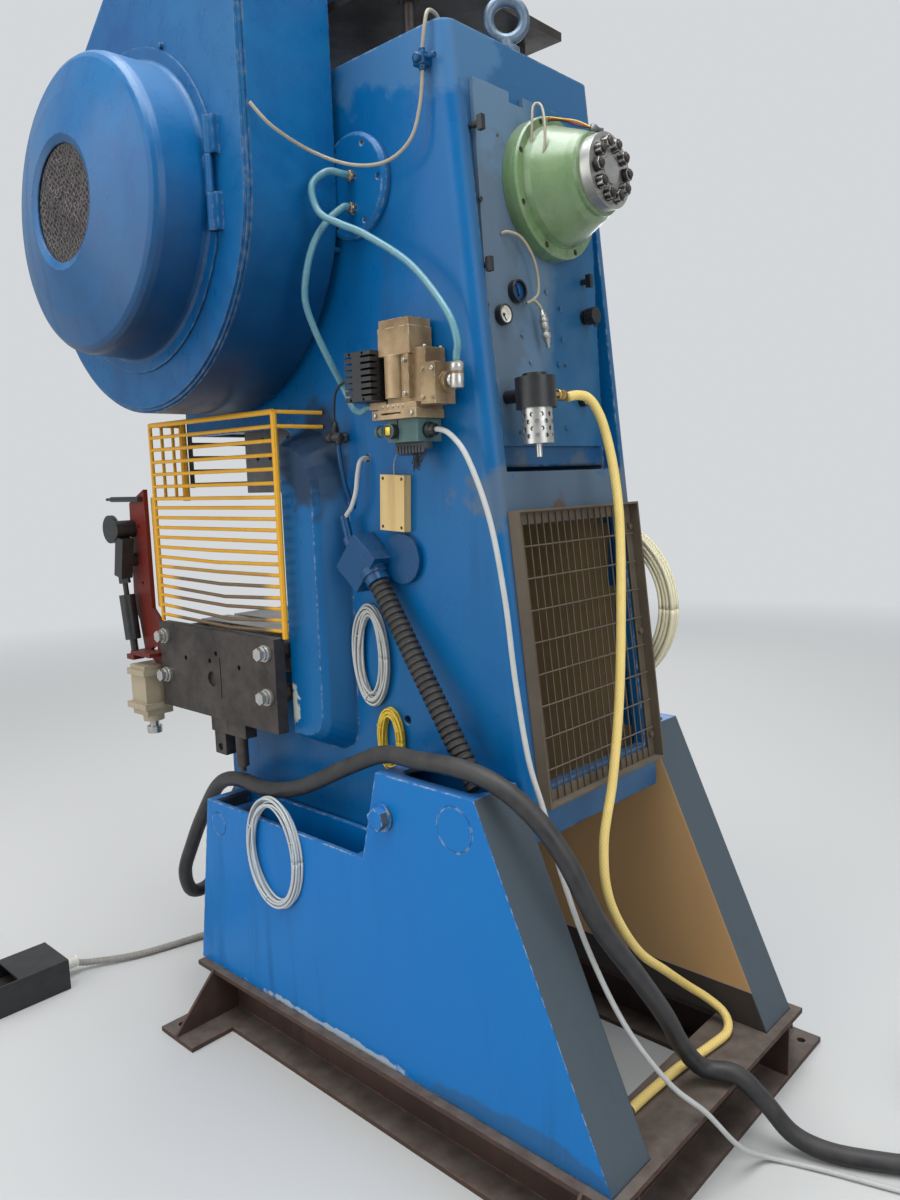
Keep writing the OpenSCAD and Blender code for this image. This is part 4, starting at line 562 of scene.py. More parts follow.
# what a few finishes have besides their row
extras = {
    "frameBlue": {"coat": 0.05},
    "housingBlue": {"coat": 0.3},
    "panelBlue": {"bump": 0.2, "coat": 0.1},
    "baseBrown": {"bump": 0.5},
    "bellGreen": {"coat": 0.7, "shine": 0.4},
    "valveGold": {"bump": 0.5, "shine": 0.4, "metallic": 0.25},
    "wiringGreen": {"bump": 0.2},
    "boxTan": {"bump": 0.2},
    "conduitBlue": {"bump": 0.25, "coat": 0.2},
    "motorBlue": {"coat": 0.1},
    "brightSteel": {"Brush": (0.3, 3.0, 3.0)}}
patches = {
    # frame: painted shade on faces turned to the rear, away from the windows, and a painted highlight at the top of
    # the column near its rear, besides the painted sunlight inside
    "frameBlue": paintedSunInside + [patchAt((0.3, -0.24, 1.6), (0.09, 0.09, 0.16), 0.35, 11.0, (26, 34, 44), 0.8),
        facingAt((0.0, 1.0, 0.0), 0.8, 0.97, (52, 84, 112), 0.6), patchAt((0.33, -0.31, 0.985), (0.08, 0.02, 0.05),
        0.9, 30.0, (205, 206, 190), 0.8), patchAt((0.25, 0.12, 2.47), (0.2, 0.3, 0.10), 0.6, 9.0, (84, 122, 156),
        0.45), patchAt((0.0, 0.33, 1.50), (0.3, 0.2, 0.09), 0.7, 10.0, (96, 104, 108), 0.6),
        patchAt((0.05, 0.34, 1.46), (0.05, 0.2, 0.05), 0.7, 14.0, (92, 74, 58), 0.8)],
    # housing: painted shade on faces that look down and a painted sheen on faces that look up
    "housingBlue": [facingAt((0.0, 0.0, -1.0), -0.1, 0.85, (4, 28, 52), 0.8), facingAt((0.0, 0.0, 1.0), 0.3, 1.0,
        (128, 164, 200), 0.4)],
    # legs: painted shade on faces turned to the rear, away from the windows, and painted sunlight on the inner face of
    # the far leg, with a dark band along its bottom
    "legBlue": [facingAt((0.0, 1.0, 0.0), 0.3, 0.6, (74, 82, 86), 0.97), patchAt((0.42, -0.12, 0.168),
        (0.08, 0.26, 0.011), 0.9, 18.0, (190, 196, 196), 0.7), patchAt((0.42, 0.46, 0.17), (0.08, 0.26, 0.045), 0.35,
        9.0, (50, 76, 98), 0.5), blockAt((-0.2785, -0.9, 0.25), (-0.27, 0.9, 1.2), 0.0008, (196, 156, 108), 1.0),
        blockAt((-0.2785, -0.9, 0.0), (-0.27, 0.9, 0.25), 0.0008, (66, 60, 56), 1.0)],
    "panelBlue": [patchAt((0.13, 0.24, 2.08), (0.17, 0.3, 0.42), 0.16, 5.0, (112, 134, 152), 0.6),
        patchAt((0.17, 0.24, 2.0), (0.09, 0.3, 0.26), 0.5, 9.0, (84, 88, 92), 0.45)],
    "guardYellow": [blockAt((0.2, -0.82, 1.1), (0.5, -0.33, 1.34), 0.05, (98, 88, 80), 0.9)]}


def rowValues(columns, row, name):
    # a table row as named values, without those left to the group's own default
    return {**{key: value for key, value in zip(columns, row) if value is not None}, **extras.get(name, {})}


for name, row in paints.items():
    paintMaterial(name, patches=patches.get(name, ()), **rowValues(paintColumns, row, name))
for name, row in metals.items():
    metalMaterial(name, **rowValues(metalColumns, row, name))
for name, row in softs.items():
    softMaterial(name, **rowValues(softColumns, row, name))


def slantingThreads(tree, across, along, pitches, low, high):
    # two crossing families of threads over a pair of coordinates: 1 on a thread and 0 between
    threads = []
    for way in (1.0, -1.0):
        slant = plus(tree, times(tree, across, pitches[0] * way), times(tree, along, pitches[1]))
        wave = maths(tree, "ABSOLUTE", less(tree, maths(tree, "FRACT", slant), 0.5))
        threads.append(spread(tree, wave, low, high))
    return maths(tree, "MAXIMUM", threads[0], threads[1])


def makeHoseYellow():
    # clear yellow hose wall over a braid: two families of slanting threads laid out on the tube's own map
    tree, shader = startMaterial("hoseYellow")
    soft = placeGroup(tree, "soft", Colour=(232, 204, 116), Dusty=(202, 170, 96), Dust=0.5, Shine=0.3)
    uv = addNode(tree, "ShaderNodeUVMap", {"uv_map": "along"}).outputs[0]
    parts = axes(tree, uv)
    braid = slantingThreads(tree, parts[0], parts[1], (8.0, 95.0), 0.4, 0.46)
    shade = blendColours(tree, times(tree, braid, 0.45), soft.outputs["Colour"], colour(250, 232, 176))
    tree.links.new(shade, shader.inputs["Base Color"])
    tree.links.new(soft.outputs["Roughness"], shader.inputs["Roughness"])
    tree.links.new(bumpFrom(tree, plus(tree, braid, soft.outputs["Height"]), 0.2, 0.0005), shader.inputs["Normal"])
    shader.inputs["Subsurface Weight"].default_value = 0.15
    shader.inputs["Subsurface Radius"].default_value = (0.006, 0.004, 0.002)


def makeNet():
    # a knotted net over the folds: two families of slanting threads, lighter than the gaps between them
    tree, shader = startMaterial("netThreads")
    soft = placeGroup(tree, "soft", Colour=(18, 16, 18), Dusty=(44, 38, 38), Dust=0.4, Shine=0.6)
    at = objectPoint(tree)
    waved = addNode(tree, "ShaderNodeVectorMath", {"operation": "MULTIPLY_ADD"}, n0=addNode(tree,
        "ShaderNodeTexNoise", None, Vector=at, Scale=9.0, Detail=2.0).outputs["Color"], n1=(0.03, 0.03, 0.03),
        n2=at).outputs[0]
    parts = axes(tree, waved)
    net = slantingThreads(tree, parts[1], parts[2], (74.0, 56.0), 0.34, 0.42)
    tree.links.new(blendColours(tree, net, soft.outputs["Colour"], colour(96, 88, 88)), shader.inputs["Base Color"])
    tree.links.new(soft.outputs["Roughness"], shader.inputs["Roughness"])
    tree.links.new(bumpFrom(tree, net, 0.6, 0.0012), shader.inputs["Normal"])


makeHoseYellow()
makeNet()
print("finishes made,", len(finishes))

nodeFinish = {"base_frame": "baseBrown", "leg_right": "legBlue", "leg_left": "legBlue", "leg_fasteners": "legBlue",
    "press_frame": "frameBlue", "head_cover": "frameBlue", "rear_panel": "panelBlue", "latch_upper": "blackPlastic",
    "latch_lower": "blackPlastic", "latch_far": "blackPlastic", "panel_gauges": "blackPlastic",
    "gauge_needle": "blackPlastic", "regulator_knob": "blackPlastic", "bell_housing": "bellGreen",
    "bell_flange": "silverSteel", "lifting_eye": "boltSteel", "filter_head": "blackPlastic",
    "filter_bowl": "silverSteel", "grille_frame": "grilleBrown", "grille_mesh": "grilleBrown",
    "valve_body": "valveGold", "valve_silencer": "blackPlastic", "valve_box": "wiringGreen",
    "manifold_plate": "frameBlue", "service_lines": "lineTeal", "terminal_box": "boxTan",
    "conduit_box": "conduitBlue", "ribbed_conduit": "blackRubber", "side_guard": "guardYellow",
    "front_guard": "darkSteel", "bolster_plate": "brightSteel", "feed_plate": "darkSteel",
    "feed_bolts": "silverSteel", "gate_bracket": "bracketRed", "gate_cylinder": "gateCream",
    "gate_rod": "brightSteel", "gate_linkage": "blackPlastic", "slide": "castGrey", "slide_gibs": "bronze",
    "crankshaft": "brightSteel", "connecting_rod": "castGrey", "main_bearings": "bronze", "flywheel": "castGrey",
    "clutch_drum": "castGrey", "flywheel_housing": "housingBlue", "dome_door": "housingBlue",
    "net_filling": "netThreads", "drive_belts": "blackRubber", "motor_plate": "darkSteel", "motor": "motorBlue",
    "motor_pulley": "castGrey", "pedal_box": "blackPlastic", "pedal_treadle": "darkSteel",
    "pedal_conduit": "conduitGrey", "yellow_hose": "hoseYellow", "valve_cable": "cableGrey",
    "supply_cable": "supplyBlack", "cord_coils": "supplyBlack", "cable_hanks": "cableGrey", "tube_coil": "tubeClear"}
for name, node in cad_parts.items():
    node.data.materials.clear()
    node.data.materials.append(finishes[nodeFinish[name]])

# free cords, their routes the same as in the source, in millimetres here and turned into metres;
# a lead meets its coil this far round from its last point, in radians
coilLead = 0.75
cords = {
    "pedal": {"thick": 22, "step": 0.002, "route": [(605.8, -1226, 40), (590, -1226, 40), (550, -1219, 22),
        (400, -1150, 12), (196, -1097, 12), (80, -1060, 12), (20, -1000, 14), (-20, -930, 60), (-40, -890, 180),
        (-40, -880, 330), (-40, -865, 460), (-40, -825, 550), (-40, -784, 589), (-40, -758, 590)]},
    "hose": {"thick": 22, "step": 0.008, "route": [(54, 358, 1717), (30, 366, 1722), (0, 378, 1716), (-22, 392, 1680),
        (-36, 405, 1620), (-44, 418, 1540), (-42, 432, 1430), (-20, 448, 1250), (15, 464, 1040), (60, 474, 860),
        (105, 478, 720), (105, 492, 590), (30, 515, 450), (-90, 524, 345), (-190, 532, 262), (-238, 560, 218),
        (-246, 600, 190), (-205, 628, 174), (-120, 622, 172), (0, 605, 172), (110, 598, 172), (190, 596, 172)]},
    "valve": {"thick": 12, "step": 0.008, "coil": {"centre": (-150, 1382), "radii": (66, 53, 40), "layers": 3,
        "turn": -1, "lift": 6.2}, "route": [(310.6, 193.6, 1652), (310.6, 204, 1652), (313, 240, 1638),
        (310, 284, 1586), (305, 336, 1457), (300, 368, 1290), (297, 388, 1120), (298, 420, 954), (295, 455, 850),
        (290, 492, 725), (276, 552, 560), (240, 618, 400), (170, 680, 262), (100, 728, 178), (20, 768, 70),
        (-60, 800, 12), (-105, 900, 7), (-150, 1040, 7), (-185, 1150, 7), (-212, 1265, 7)]},
    "supply": {"thick": 42, "step": 0.016, "coil": {"centre": (-585, 1270), "radii": (248, 205, 162), "layers": 2,
        "turn": 1, "lift": 21.5}, "route": [(160, -757.3, 600), (160, -790, 600), (161, -860, 585), (164, -915, 500),
        (185, -945, 370), (240, -955, 262), (310, -950, 262), (350, -915, 350), (352, -860, 450), (350, -790, 560),
        (353, -684, 682), (362, -570, 724), (372, -420, 730), (380, -262, 770), (385, -50, 872), (387, 70, 922),
        (391, 183, 930), (393, 300, 938), (384, 400, 920), (360, 480, 862), (338, 540, 780), (300, 596, 640),
        (215, 632, 505), (112, 636, 372), (40, 640, 262), (-10, 665, 196), (-48, 728, 188), (-88, 778, 120),
        (-120, 830, 48), (-150, 905, 23), (-200, 1010, 22), (-262, 1118, 22)]}}


def coilPath(coil, thick, enter):
    # turns of a coil on the floor: radius steps in at each turn, then back out on the next layer, from the angle where
    # the lead comes in
    cx, cy = coil["centre"]
    way, angle, points = coil["turn"], enter, []
    radii = list(coil["radii"])
    for layer in range(coil["layers"]):
        row = radii if layer % 2 == 0 else radii[::-1]
        for k, r in enumerate(row):
            after = row[k + 1] if k + 1 < len(row) else r
            last = layer == coil["layers"] - 1 and k == len(row) - 1
            steps = np.arange(36 if not last else 30) / 36
            ease = np.clip((steps - 0.8) / 0.2, 0, 1) ** 2 * (3 - 2 * np.clip((steps - 0.8) / 0.2, 0, 1))
            radius = r + (after - r) * ease
            climb = thick * 1.02 * ease if k + 1 == len(row) and layer + 1 < coil["layers"] else 0 * ease
            turn = angle + way * 2 * math.pi * steps
            points.append(np.stack([cx + radius * np.cos(turn), cy + radius * np.sin(turn),
                coil["lift"] + layer * thick * 1.02 + climb], 1))
    return np.concatenate(points)


def cordPath(cord):
    path = smoothRoute(cord["route"], 12.0)
    if "coil" in cord:
        coil = cord["coil"]
        first = np.array(cord["route"][-1][:2]) - coil["centre"]
        enter = math.atan2(first[1], first[0]) + coil["turn"] * coilLead
        turns = coilPath(coil, cord["thick"], enter)
        path = smoothRoute(np.concatenate([np.array(cord["route"], float), turns]), 12.0)
    return evenly(path / 1000.0, cord["step"])


def cordPiece(name, cord, finish, slot, sides, radius=None):
    path = cordPath(cord)
    points, faces, uv = tubeArrays(path, cord["thick"] / 2000.0 if radius is None else radius(path), sides)
    return makePiece(name, points, faces, finish, slot=slot, uv=uv), path


def ribRadius(path):
    # the pedal conduit's wall rises and falls once every 10 mm
    run = np.concatenate([[0], np.cumsum(np.linalg.norm(np.diff(path, axis=0), axis=1))])
    return 0.0112 - 0.002 * (0.5 - 0.5 * np.cos(run * 2 * math.pi / 0.010))


pedalCord, pedalPath = cordPiece("pedalConduit", cords["pedal"], "conduitGrey", "conduit_grey", 14, ribRadius)
yellowHose, yellowPath = cordPiece("yellowHose", cords["hose"], "hoseYellow", "hose_yellow", 20)
valveCord, valvePath = cordPiece("valveLead", cords["valve"], "cableGrey", "cable_grey", 10)
supplyCord, supplyPath = cordPiece("supplyLead", cords["supply"], "supplyBlack", "cable_black", 14)
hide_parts("pedal_conduit")
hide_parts("yellow_hose")
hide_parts("valve_cable")
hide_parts("supply_cable", "cord_coils")
print("cords laid, metres:", [round(pathLength(p), 2) for p in (pedalPath, yellowPath, valvePath, supplyPath)])

# glands, fittings and cut ends on the cords
fittings = Heap()
fittings.add(*latheArrays([(0.018, 0), (0.018, 0.009), (0.0165, 0.0105), (0.0165, 0.018), (0.0135, 0.0235),
    (0.0112, 0.0237)], (-0.040, -0.7333, 0.590), (0, -1, 0), 28))
fittings.add(*hexArrays(0.030, 0.010, (-0.040, -0.7425, 0.590), (0, -1, 0)))
fittings.add(*latheArrays([(0.029, 0), (0.029, 0.010), (0.027, 0.0115), (0.027, 0.018), (0.0225, 0.0235),
    (0.0212, 0.0238)], (0.160, -0.7333, 0.600), (0, -1, 0), 32))
fittings.piece("cordGlands", "blackPlastic", slot="black_parts")
hoseEnd = Heap()
hoseEnd.add(*latheArrays([(0.008, 0), (0.0125, 0.0005), (0.0125, 0.012), (0.011, 0.013), (0.011, 0.020),
    (0.0125, 0.021), (0.0125, 0.031), (0.006, 0.032)], (0.1903, 0.596, 0.172), (1, 0, 0), 24))
hoseEndPiece = hoseEnd.piece("hoseEndFitting", "brass", slot="bronze")


def cutCores(name, path, thick, count, reach, core, tints):
    # the conductors that stand out of a cut lead: each a short bent wire from the end face, spreading from the middle
    end, ahead = path[-1], path[-1] - path[-3]
    ahead = ahead / np.linalg.norm(ahead)
    side = np.cross(ahead, [0, 0, 1.0])
    side /= np.linalg.norm(side)
    up = np.cross(side, ahead)
    pieces = []
    for k in range(count):
        angle = 2 * math.pi * k / count + 0.4
        off = (math.cos(angle) * side + math.sin(angle) * up) * thick * 0.22
        line = [end - ahead * 0.004 + off, end + ahead * reach * 0.4 + off * 1.05, end + ahead * reach + off * 1.5]
        points, faces = tubeArrays(smoothRoute(line, reach / 8), core / 2, 8)[:2]
        pieces.append(makePiece(name + str(k + 1), points, faces, tints[k % len(tints)], slot="cable_black"))
    return pieces


supplyCores = cutCores("supplyCore", supplyPath, 0.042, 4, 0.045, 0.008, ["blackRubber", "cableGrey", "leadBlue",
    "leadYellow"])
valveCores = cutCores("valveCore", valvePath, 0.012, 3, 0.02, 0.0024, ["leadRed", "leadBlue", "leadYellow"])


def mm(*values):
    return np.asarray(values, float) / 1000.0


# the sloping wall behind the rear panel: degrees off upright, and where its zero point stands from the origin
wall = {"lean": 2.9, "back": 265.0, "high": 1613.0}
wallLean = math.radians(wall["lean"])
wallOut = np.array([0.0, math.cos(wallLean), math.sin(wallLean)])
wallUp = np.array([0.0, -math.sin(wallLean), math.cos(wallLean)])


def onWall(across, out, up):
    # a point given in millimetres on the wall: sideways, out from it and up along it
    return (np.array([across, wall["back"], wall["high"]]) + out * wallOut + up * wallUp) / 1000.0


def wallRoute(*points):
    return [1000 * onWall(*point) for point in points]


def aroundWall(angle, radius):
    # from a centre on the wall to a point on a circle of the radius, in metres
    return (math.cos(angle) * np.array([1.0, 0, 0]) - math.sin(angle) * wallUp) * radius


def addTube(heap, route, thick, step=6.0, sides=10):
    # a thin line along a route in millimetres
    heap.add(*tubeArrays(smoothRoute(route, step) / 1000.0, thick / 2000.0, sides)[:2])


def addTurned(heap, profile, start, axis, sides=28):
    # a turned shape whose profile is (radius, distance) pairs in millimetres
    heap.add(*latheArrays(np.asarray(profile, float) / 1000.0, start, axis, sides))


def addHex(heap, across, high, start, axis):
    heap.add(*hexArrays(across / 1000.0, high / 1000.0, start, axis))


# air lines from the round cover to the valve, and the thin lubrication line with its clip
airLines = {
    "thick": 16,
    "routes": [[(303.6, -66, 2236), (318, -66, 2236), (352, -78, 2236), (390, -86, 2200), (392, -64, 2140),
        (375, -13, 2107), (350, 40, 2078), (325, 150, 2000), (322, 246, 1893), (325.6, 277, 1830),
        (325.3, 274.5, 1800), (325.3, 274, 1785.3)], [(304.4, -66, 2166), (316, -66, 2165), (352, -77, 2134),
        (385, -90, 2085), (400, -105, 2023), (395, -123, 1959), (370, -125, 1897), (335, -120, 1829),
        (304, -108, 1765), (306, -76, 1717), (314, -40, 1704), (317, -12, 1713), (318, 0, 1712), (318, 7.3, 1712)]]}
lines = Heap()
for route in airLines["routes"]:
    addTube(lines, route, airLines["thick"], 6.0, 16)
airPiece = lines.piece("airHoses", "lineTeal", slot="line_teal")
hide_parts("service_lines")

thinLines = {"lube": 8, "tail": 7, "loop": 6, "cable": 11, "wire": 6, "drop": 12}
lube = Heap()
addTube(lube, [(530, -107, 2345), (490, -85, 2300), (400, -72, 2268), (340, -12, 2238), (315, 74, 2228),
    (300, 137, 2260), (288, 158, 2327), (284, 165, 2398)], thinLines["lube"])
addTube(lube, [(284, 166, 2436), (284, 175, 2480), (272, 175, 2512), (240, 170, 2514), (226, 165, 2496)],
    thinLines["lube"])
addTube(lube, wallRoute((147, 12, 457), (140, 22, 462), (107, 34, 454), (74, 38, 421), (57, 38, 380), (56, 36, 338),
    (72, 30, 322), (86, 26, 314), (70, 32, 322), (58, 38, 312), (50, 40, 300)), thinLines["tail"])
addTube(lube, wallRoute((84, 60, 600), (84, 92, 618), (78, 96, 668), (66, 84, 716), (62, 70, 734), (70, 62, 728),
    (80, 64, 690), (82, 60, 640), (78, 52, 600)), thinLines["loop"])
lube.piece("lubeLines", "lineBeige", slot="cable_grey")

clips = Heap()
clips.add(*slabArrays(mm(267.2, 148, 2404), mm(295, 178, 2428)))
addTurned(clips, [(0, 0), (7, 0), (7, 44), (0, 44)], mm(284, 165, 2394), (0, 0, 1), 18)
addTurned(clips, [(0, 0), (10, 0), (10, 8), (6, 10), (0, 10)], mm(295, 163, 2416), (1, 0, 0), 18)
addTurned(clips, [(0, 0), (6, 0), (6, 24), (0, 24)], mm(284, 178, 2416), (0, 1, 0), 16)
bevelled(clips.piece("lubeClip", "conduitBlue", slot="conduit_blue"), 0.0012)

# black quick fitting in front of the valve, its thin hose and the drop tube beside the pad
quick = Heap()
addTurned(quick, [(0, 0), (13, 0), (13, 5), (10, 6), (10, 24)], mm(267.2, -153, 1652), (1, 0, 0))
addTurned(quick, [(0, 0), (9, 0), (12, 2), (12, 15), (10, 16), (10, 20), (13, 21), (13, 38), (11, 40), (11, 48),
    (8, 52), (0, 52)], mm(300, -181, 1652), (0, 1, 0))
addTurned(quick, [(0, 0), (9, 0), (9, 22), (7, 24), (7, 34), (0, 34)], mm(300, -153, 1655), (0, 0, 1), 20)
addTurned(quick, [(0, 0), (8, 0), (8, 18), (0, 18)], mm(300, -141, 1634), (0, 0, 1), 20)
for k in range(5):
    addTurned(quick, [(9.4, 0), (10.4, 0.6), (10.4, 1.8), (9.4, 2.4)], mm(300, -153, 1658 + 4 * k), (0, 0, 1), 20)
quick.piece("quickFitting", "blackPlastic", slot="black_parts")
thin = Heap()
addTube(thin, [(322, -26.5, 1752), (322, -48, 1766), (318, -92, 1776), (310, -132, 1756), (302, -150, 1716),
    (300, -153, 1688)], thinLines["wire"])
thin.piece("thinHose", "blackRubber", slot="conduit_black")
drop = Heap()
addTube(drop, [(300, -141, 1637), (299, -141, 1610), (294, -139, 1570), (286, -137, 1530), (276, -134, 1500),
    (266, -132, 1482)], thinLines["drop"], 6.0, 14)
drop.piece("dropTube", "conduitBlue", slot="conduit_blue")
lead = Heap()
addTube(lead, [(262, -76, 1599), (276, -76, 1600), (290, -78, 1592), (297, -81, 1562), (301, -86, 1520),
    (301, -104, 1484), (301, -122, 1466), (301, -131, 1452)], thinLines["cable"], 6.0, 12)
lead.piece("sideLead", "cableGrey", slot="cable_grey")
print("lines and fittings laid")

# valve: silver elbow, screws, knobs, gland, terminal strip, fine wires and bead chain
elbow = Heap()
addTurned(elbow, [(8, 0), (13.2, 0), (13.2, 9), (12.3, 10), (12.3, 14), (14.5, 15), (14.5, 23), (12.6, 25.6),
    (8, 25.6)], mm(317.3, 245, 1750), (0, 1, 0))
addTurned(elbow, [(0, 0), (13.4, 0), (14.4, 2), (14.4, 28), (13.2, 30), (13.2, 34), (14.6, 35), (14.6, 50),
    (12, 53.4), (8.1, 53.4)], mm(325.3, 274, 1731.8), (0, 0, 1))
elbow.piece("valveElbow", "silverSteel", slot="fastener_steel")
screws = Heap()
socketHead = [(0, 0), (4.6, 0), (4.6, 3.6), (3.6, 4.6), (2.2, 4.6), (2.2, 2.4), (0, 2.4)]
for x, y, z in [(352.2, 146, 1800), (352.2, 146, 1730), (349, 198, 1718), (349, 198, 1776), (349, 226, 1718),
        (349, 226, 1776)]:
    addTurned(screws, socketHead, mm(x, y, z), (1, 0, 0), 18)
for x, y in [(277, 79), (277, 185), (327, 185)]:
    addTurned(screws, [(0, 0), (4.4, 0), (4.4, 4), (3.4, 5), (2.2, 5), (2.2, 3), (0, 3)],
        mm(x, y, 1825.8 if y > 170 else 1891.8), (0, 0, 1), 18)
for y, z in [(54, 1688), (168, 1688)]:
    addHex(screws, 9, 5, mm(355.1, y, z), (1, 0, 0))
for y in (72, 88, 104, 120, 136):
    addTurned(screws, [(0, 0), (3, 0), (3, 1.6), (0, 2.2)], mm(349.2, y, 1706), (1, 0, 0), 14)
screws.piece("valveScrews", "silverSteel", slot="fastener_steel")
knobs = Heap()
addTurned(knobs, [(0, 0), (8.3, 0), (8.3, 26), (0, 26)], mm(327.3, 54, 1654), (0, 1, 0), 20)
addTurned(knobs, [(0, 0), (7, 0.4), (11, 3), (13.2, 7.5), (13.4, 12), (12.4, 17), (9, 20.5), (9, 24.6), (0, 24.6)],
    mm(333.3, 36.6, 1654), (0, 1, 0), 32)
addTurned(knobs, [(0, 0), (16.4, 0), (16.4, 16), (14.8, 19.4), (0, 19.5)], mm(340.0, 95, 1652), (1, 0, 0), 32)
addTurned(knobs, [(0, 0), (17.3, 0), (17.3, 9.2), (13.3, 10), (13.3, 23.6), (10, 24.2), (6.4, 24.3)],
    mm(310.3, 169.8, 1652), (0, 1, 0), 28)
for k in range(16):
    x, z = 310.3 + 16.6 * math.cos(math.pi * k / 8), 1652 + 16.6 * math.sin(math.pi * k / 8)
    knobs.add(*slabArrays(mm(x - 1, 171, z - 1), mm(x + 1, 178, z + 1)))
bevelled(knobs.piece("valveKnobs", "blackPlastic", slot="black_parts"), 0.0006, 2)
plain = Heap()
plain.add(*slabArrays(mm(359.6, 88, 1644), mm(360.1, 102, 1661)))
plain.piece("plainPatch", "yellowPlain", slot="cable_grey")
strip = Heap()
strip.add(*slabArrays(mm(296.8, 76.6, 1612), mm(319.8, 169.4, 1627.6)))
for k in range(9):
    strip.add(*slabArrays(mm(318, 79.5 + 10 * k, 1604), mm(322.5, 86.5 + 10 * k, 1620)))
    addTurned(strip, [(0, 0), (2.6, 0), (2.6, 1.2), (0, 1.6)], mm(322.4, 83 + 10 * k, 1613), (1, 0, 0), 12)
bevelled(strip.piece("terminalStrip", "gripGrey", slot="black_parts"), 0.0006, 1)
fine = Heap()
wires = np.random.default_rng(7)
for k in range(12):
    y, deep, reach = 124 + 3.6 * k, 28 + 20 * wires.random(), 10 + 14 * wires.random()
    mid = 146 + 6 * wires.standard_normal()
    addTube(fine, [(312, y, 1609), (314 + 4 * wires.random(), y + 2, 1598), (316 + reach * 0.3, mid, 1609 - deep),
        (312, mid - 8, 1600 - deep * 0.4), (306, y - 6, 1609)], 1.7, 5.0, 6)
for k in range(8):
    y = 82 + 7 * k
    addTube(fine, [(313, y, 1606), (315, y + 2, 1598 + 3 * wires.random()), (312, y + 8, 1601), (309, y + 6, 1610)],
        1.6, 4.0, 6)
fine.piece("fineWires", "blackRubber", slot="conduit_black")
chain = Heap()
line = smoothRoute([(307, 76, 1613), (306, 60, 1596), (303, 51, 1576), (300, 48, 1558.5)], 4.0) / 1000.0
for k in range(len(line) - 1):
    addTurned(chain, [(0.3, 0), (1.1, 0.5), (1.35, 1.3), (1.1, 2.2), (0.3, 2.8), (0.3, 3.9)], line[k],
        line[k + 1] - line[k], 10)
chain.piece("beadChain", "silverSteel", slot="fastener_steel")
boxScrews = Heap()
lean = math.radians(-3)
for dy in (-31, 31):
    for dz in (-56, 56):
        y, z = 26 + dy * math.cos(lean) - dz * math.sin(lean), 1493 + dy * math.sin(lean) + dz * math.cos(lean)
        addTurned(boxScrews, [(0, 0), (4, 0), (4, 1.2), (3, 2.4), (0, 2.6)], mm(286.6, y, z), (1, 0, 0), 16)
boxScrews.piece("boxScrews", "darkSteel", slot="dark_steel")
print("valve dressed")

# rear panel: gauge dials with ticks and rims, sight ring, small holes and screws, quick connector
# the gauges and the sight ring as (across, up, diameter) on the wall
gauges = {"dials": [(164, 283, 44), (-128, 112, 34)], "sight": (110, 339, 50), "ticks": 11, "sweep": 270}
dials = Heap()
ticks = Heap()
for across, up, size in gauges["dials"]:
    addTurned(dials, [(0, 0), (size / 2 - 4.05, 0), (size / 2 - 4.05, 7.6), (size / 2 - 4.6, 7.6),
        (size / 2 - 4.6, 0.2), (0, 0.2)], onWall(across, 20.02, up), wallOut, 32)
    for k in range(gauges["ticks"]):
        angle = math.radians(225 - gauges["sweep"] * k / (gauges["ticks"] - 1))
        long = k % 5 == 0
        way = np.array([math.cos(angle), 0, 0]) + math.sin(angle) * wallUp
        start = onWall(across, 20.4, up) + way * (size / 2 - (8.5 if long else 7.5)) / 1000
        reach = 3.2 if long else 2.0
        addTurned(ticks, [(0, 0), (0.45, 0), (0.45, reach), (0, reach)], start, way, 6)
dials.piece("gaugeDials", "dialWhite", slot="cable_grey")
ticks.piece("gaugeTicks", "blackPlastic", slot="gauge_case")
rims = Heap()
for across, up, size in gauges["dials"] + [gauges["sight"]]:
    r = size / 2
    addTurned(rims, [(r - 3.95, 0), (r - 3.6, 8.6), (r - 2.4, 9.8), (r - 0.8, 9.8), (r + 0.4, 8.5), (r + 0.5, 0)],
        onWall(across, 19.9, up), wallOut, 40)
rims.piece("gaugeRims", "blackPlastic", slot="gauge_case")
sight = Heap()
addTurned(sight, [(0, 0), (20.6, 0), (20.6, 1.5), (17, 2.5), (0, 2.5)], onWall(110, 20.4, 339), wallOut, 36)
sight.add(*tubeArrays(np.stack([onWall(118 - 9 * t, 25,
    350 - 22 * t + 8 * math.sin(3.1 * t)) for t in np.linspace(0, 1, 8)]), 0.0035, 8)[:2])
sight.piece("sightFace", "conduitBlue", slot="conduit_blue")
holes = Heap()
for across, up in [(-12, 355), (138, 668), (66, 189), (-66, 189), (-8, 140), (120, 30), (-44, 560)]:
    addTurned(holes, [(0, 0), (4.2, 0), (4.2, 0.5), (0, 0.5)], onWall(across, 12.2, up), wallOut, 16)
for across, up in [(210, 89), (210, 300), (210, 520), (-205, 300), (-205, 89), (-205, 560)]:
    addTurned(holes, [(0, 0), (6, 0), (6, 3), (4.6, 4.4), (3, 4.4), (3, 2), (0, 2)], onWall(across, 12.1, up),
        wallOut, 20)
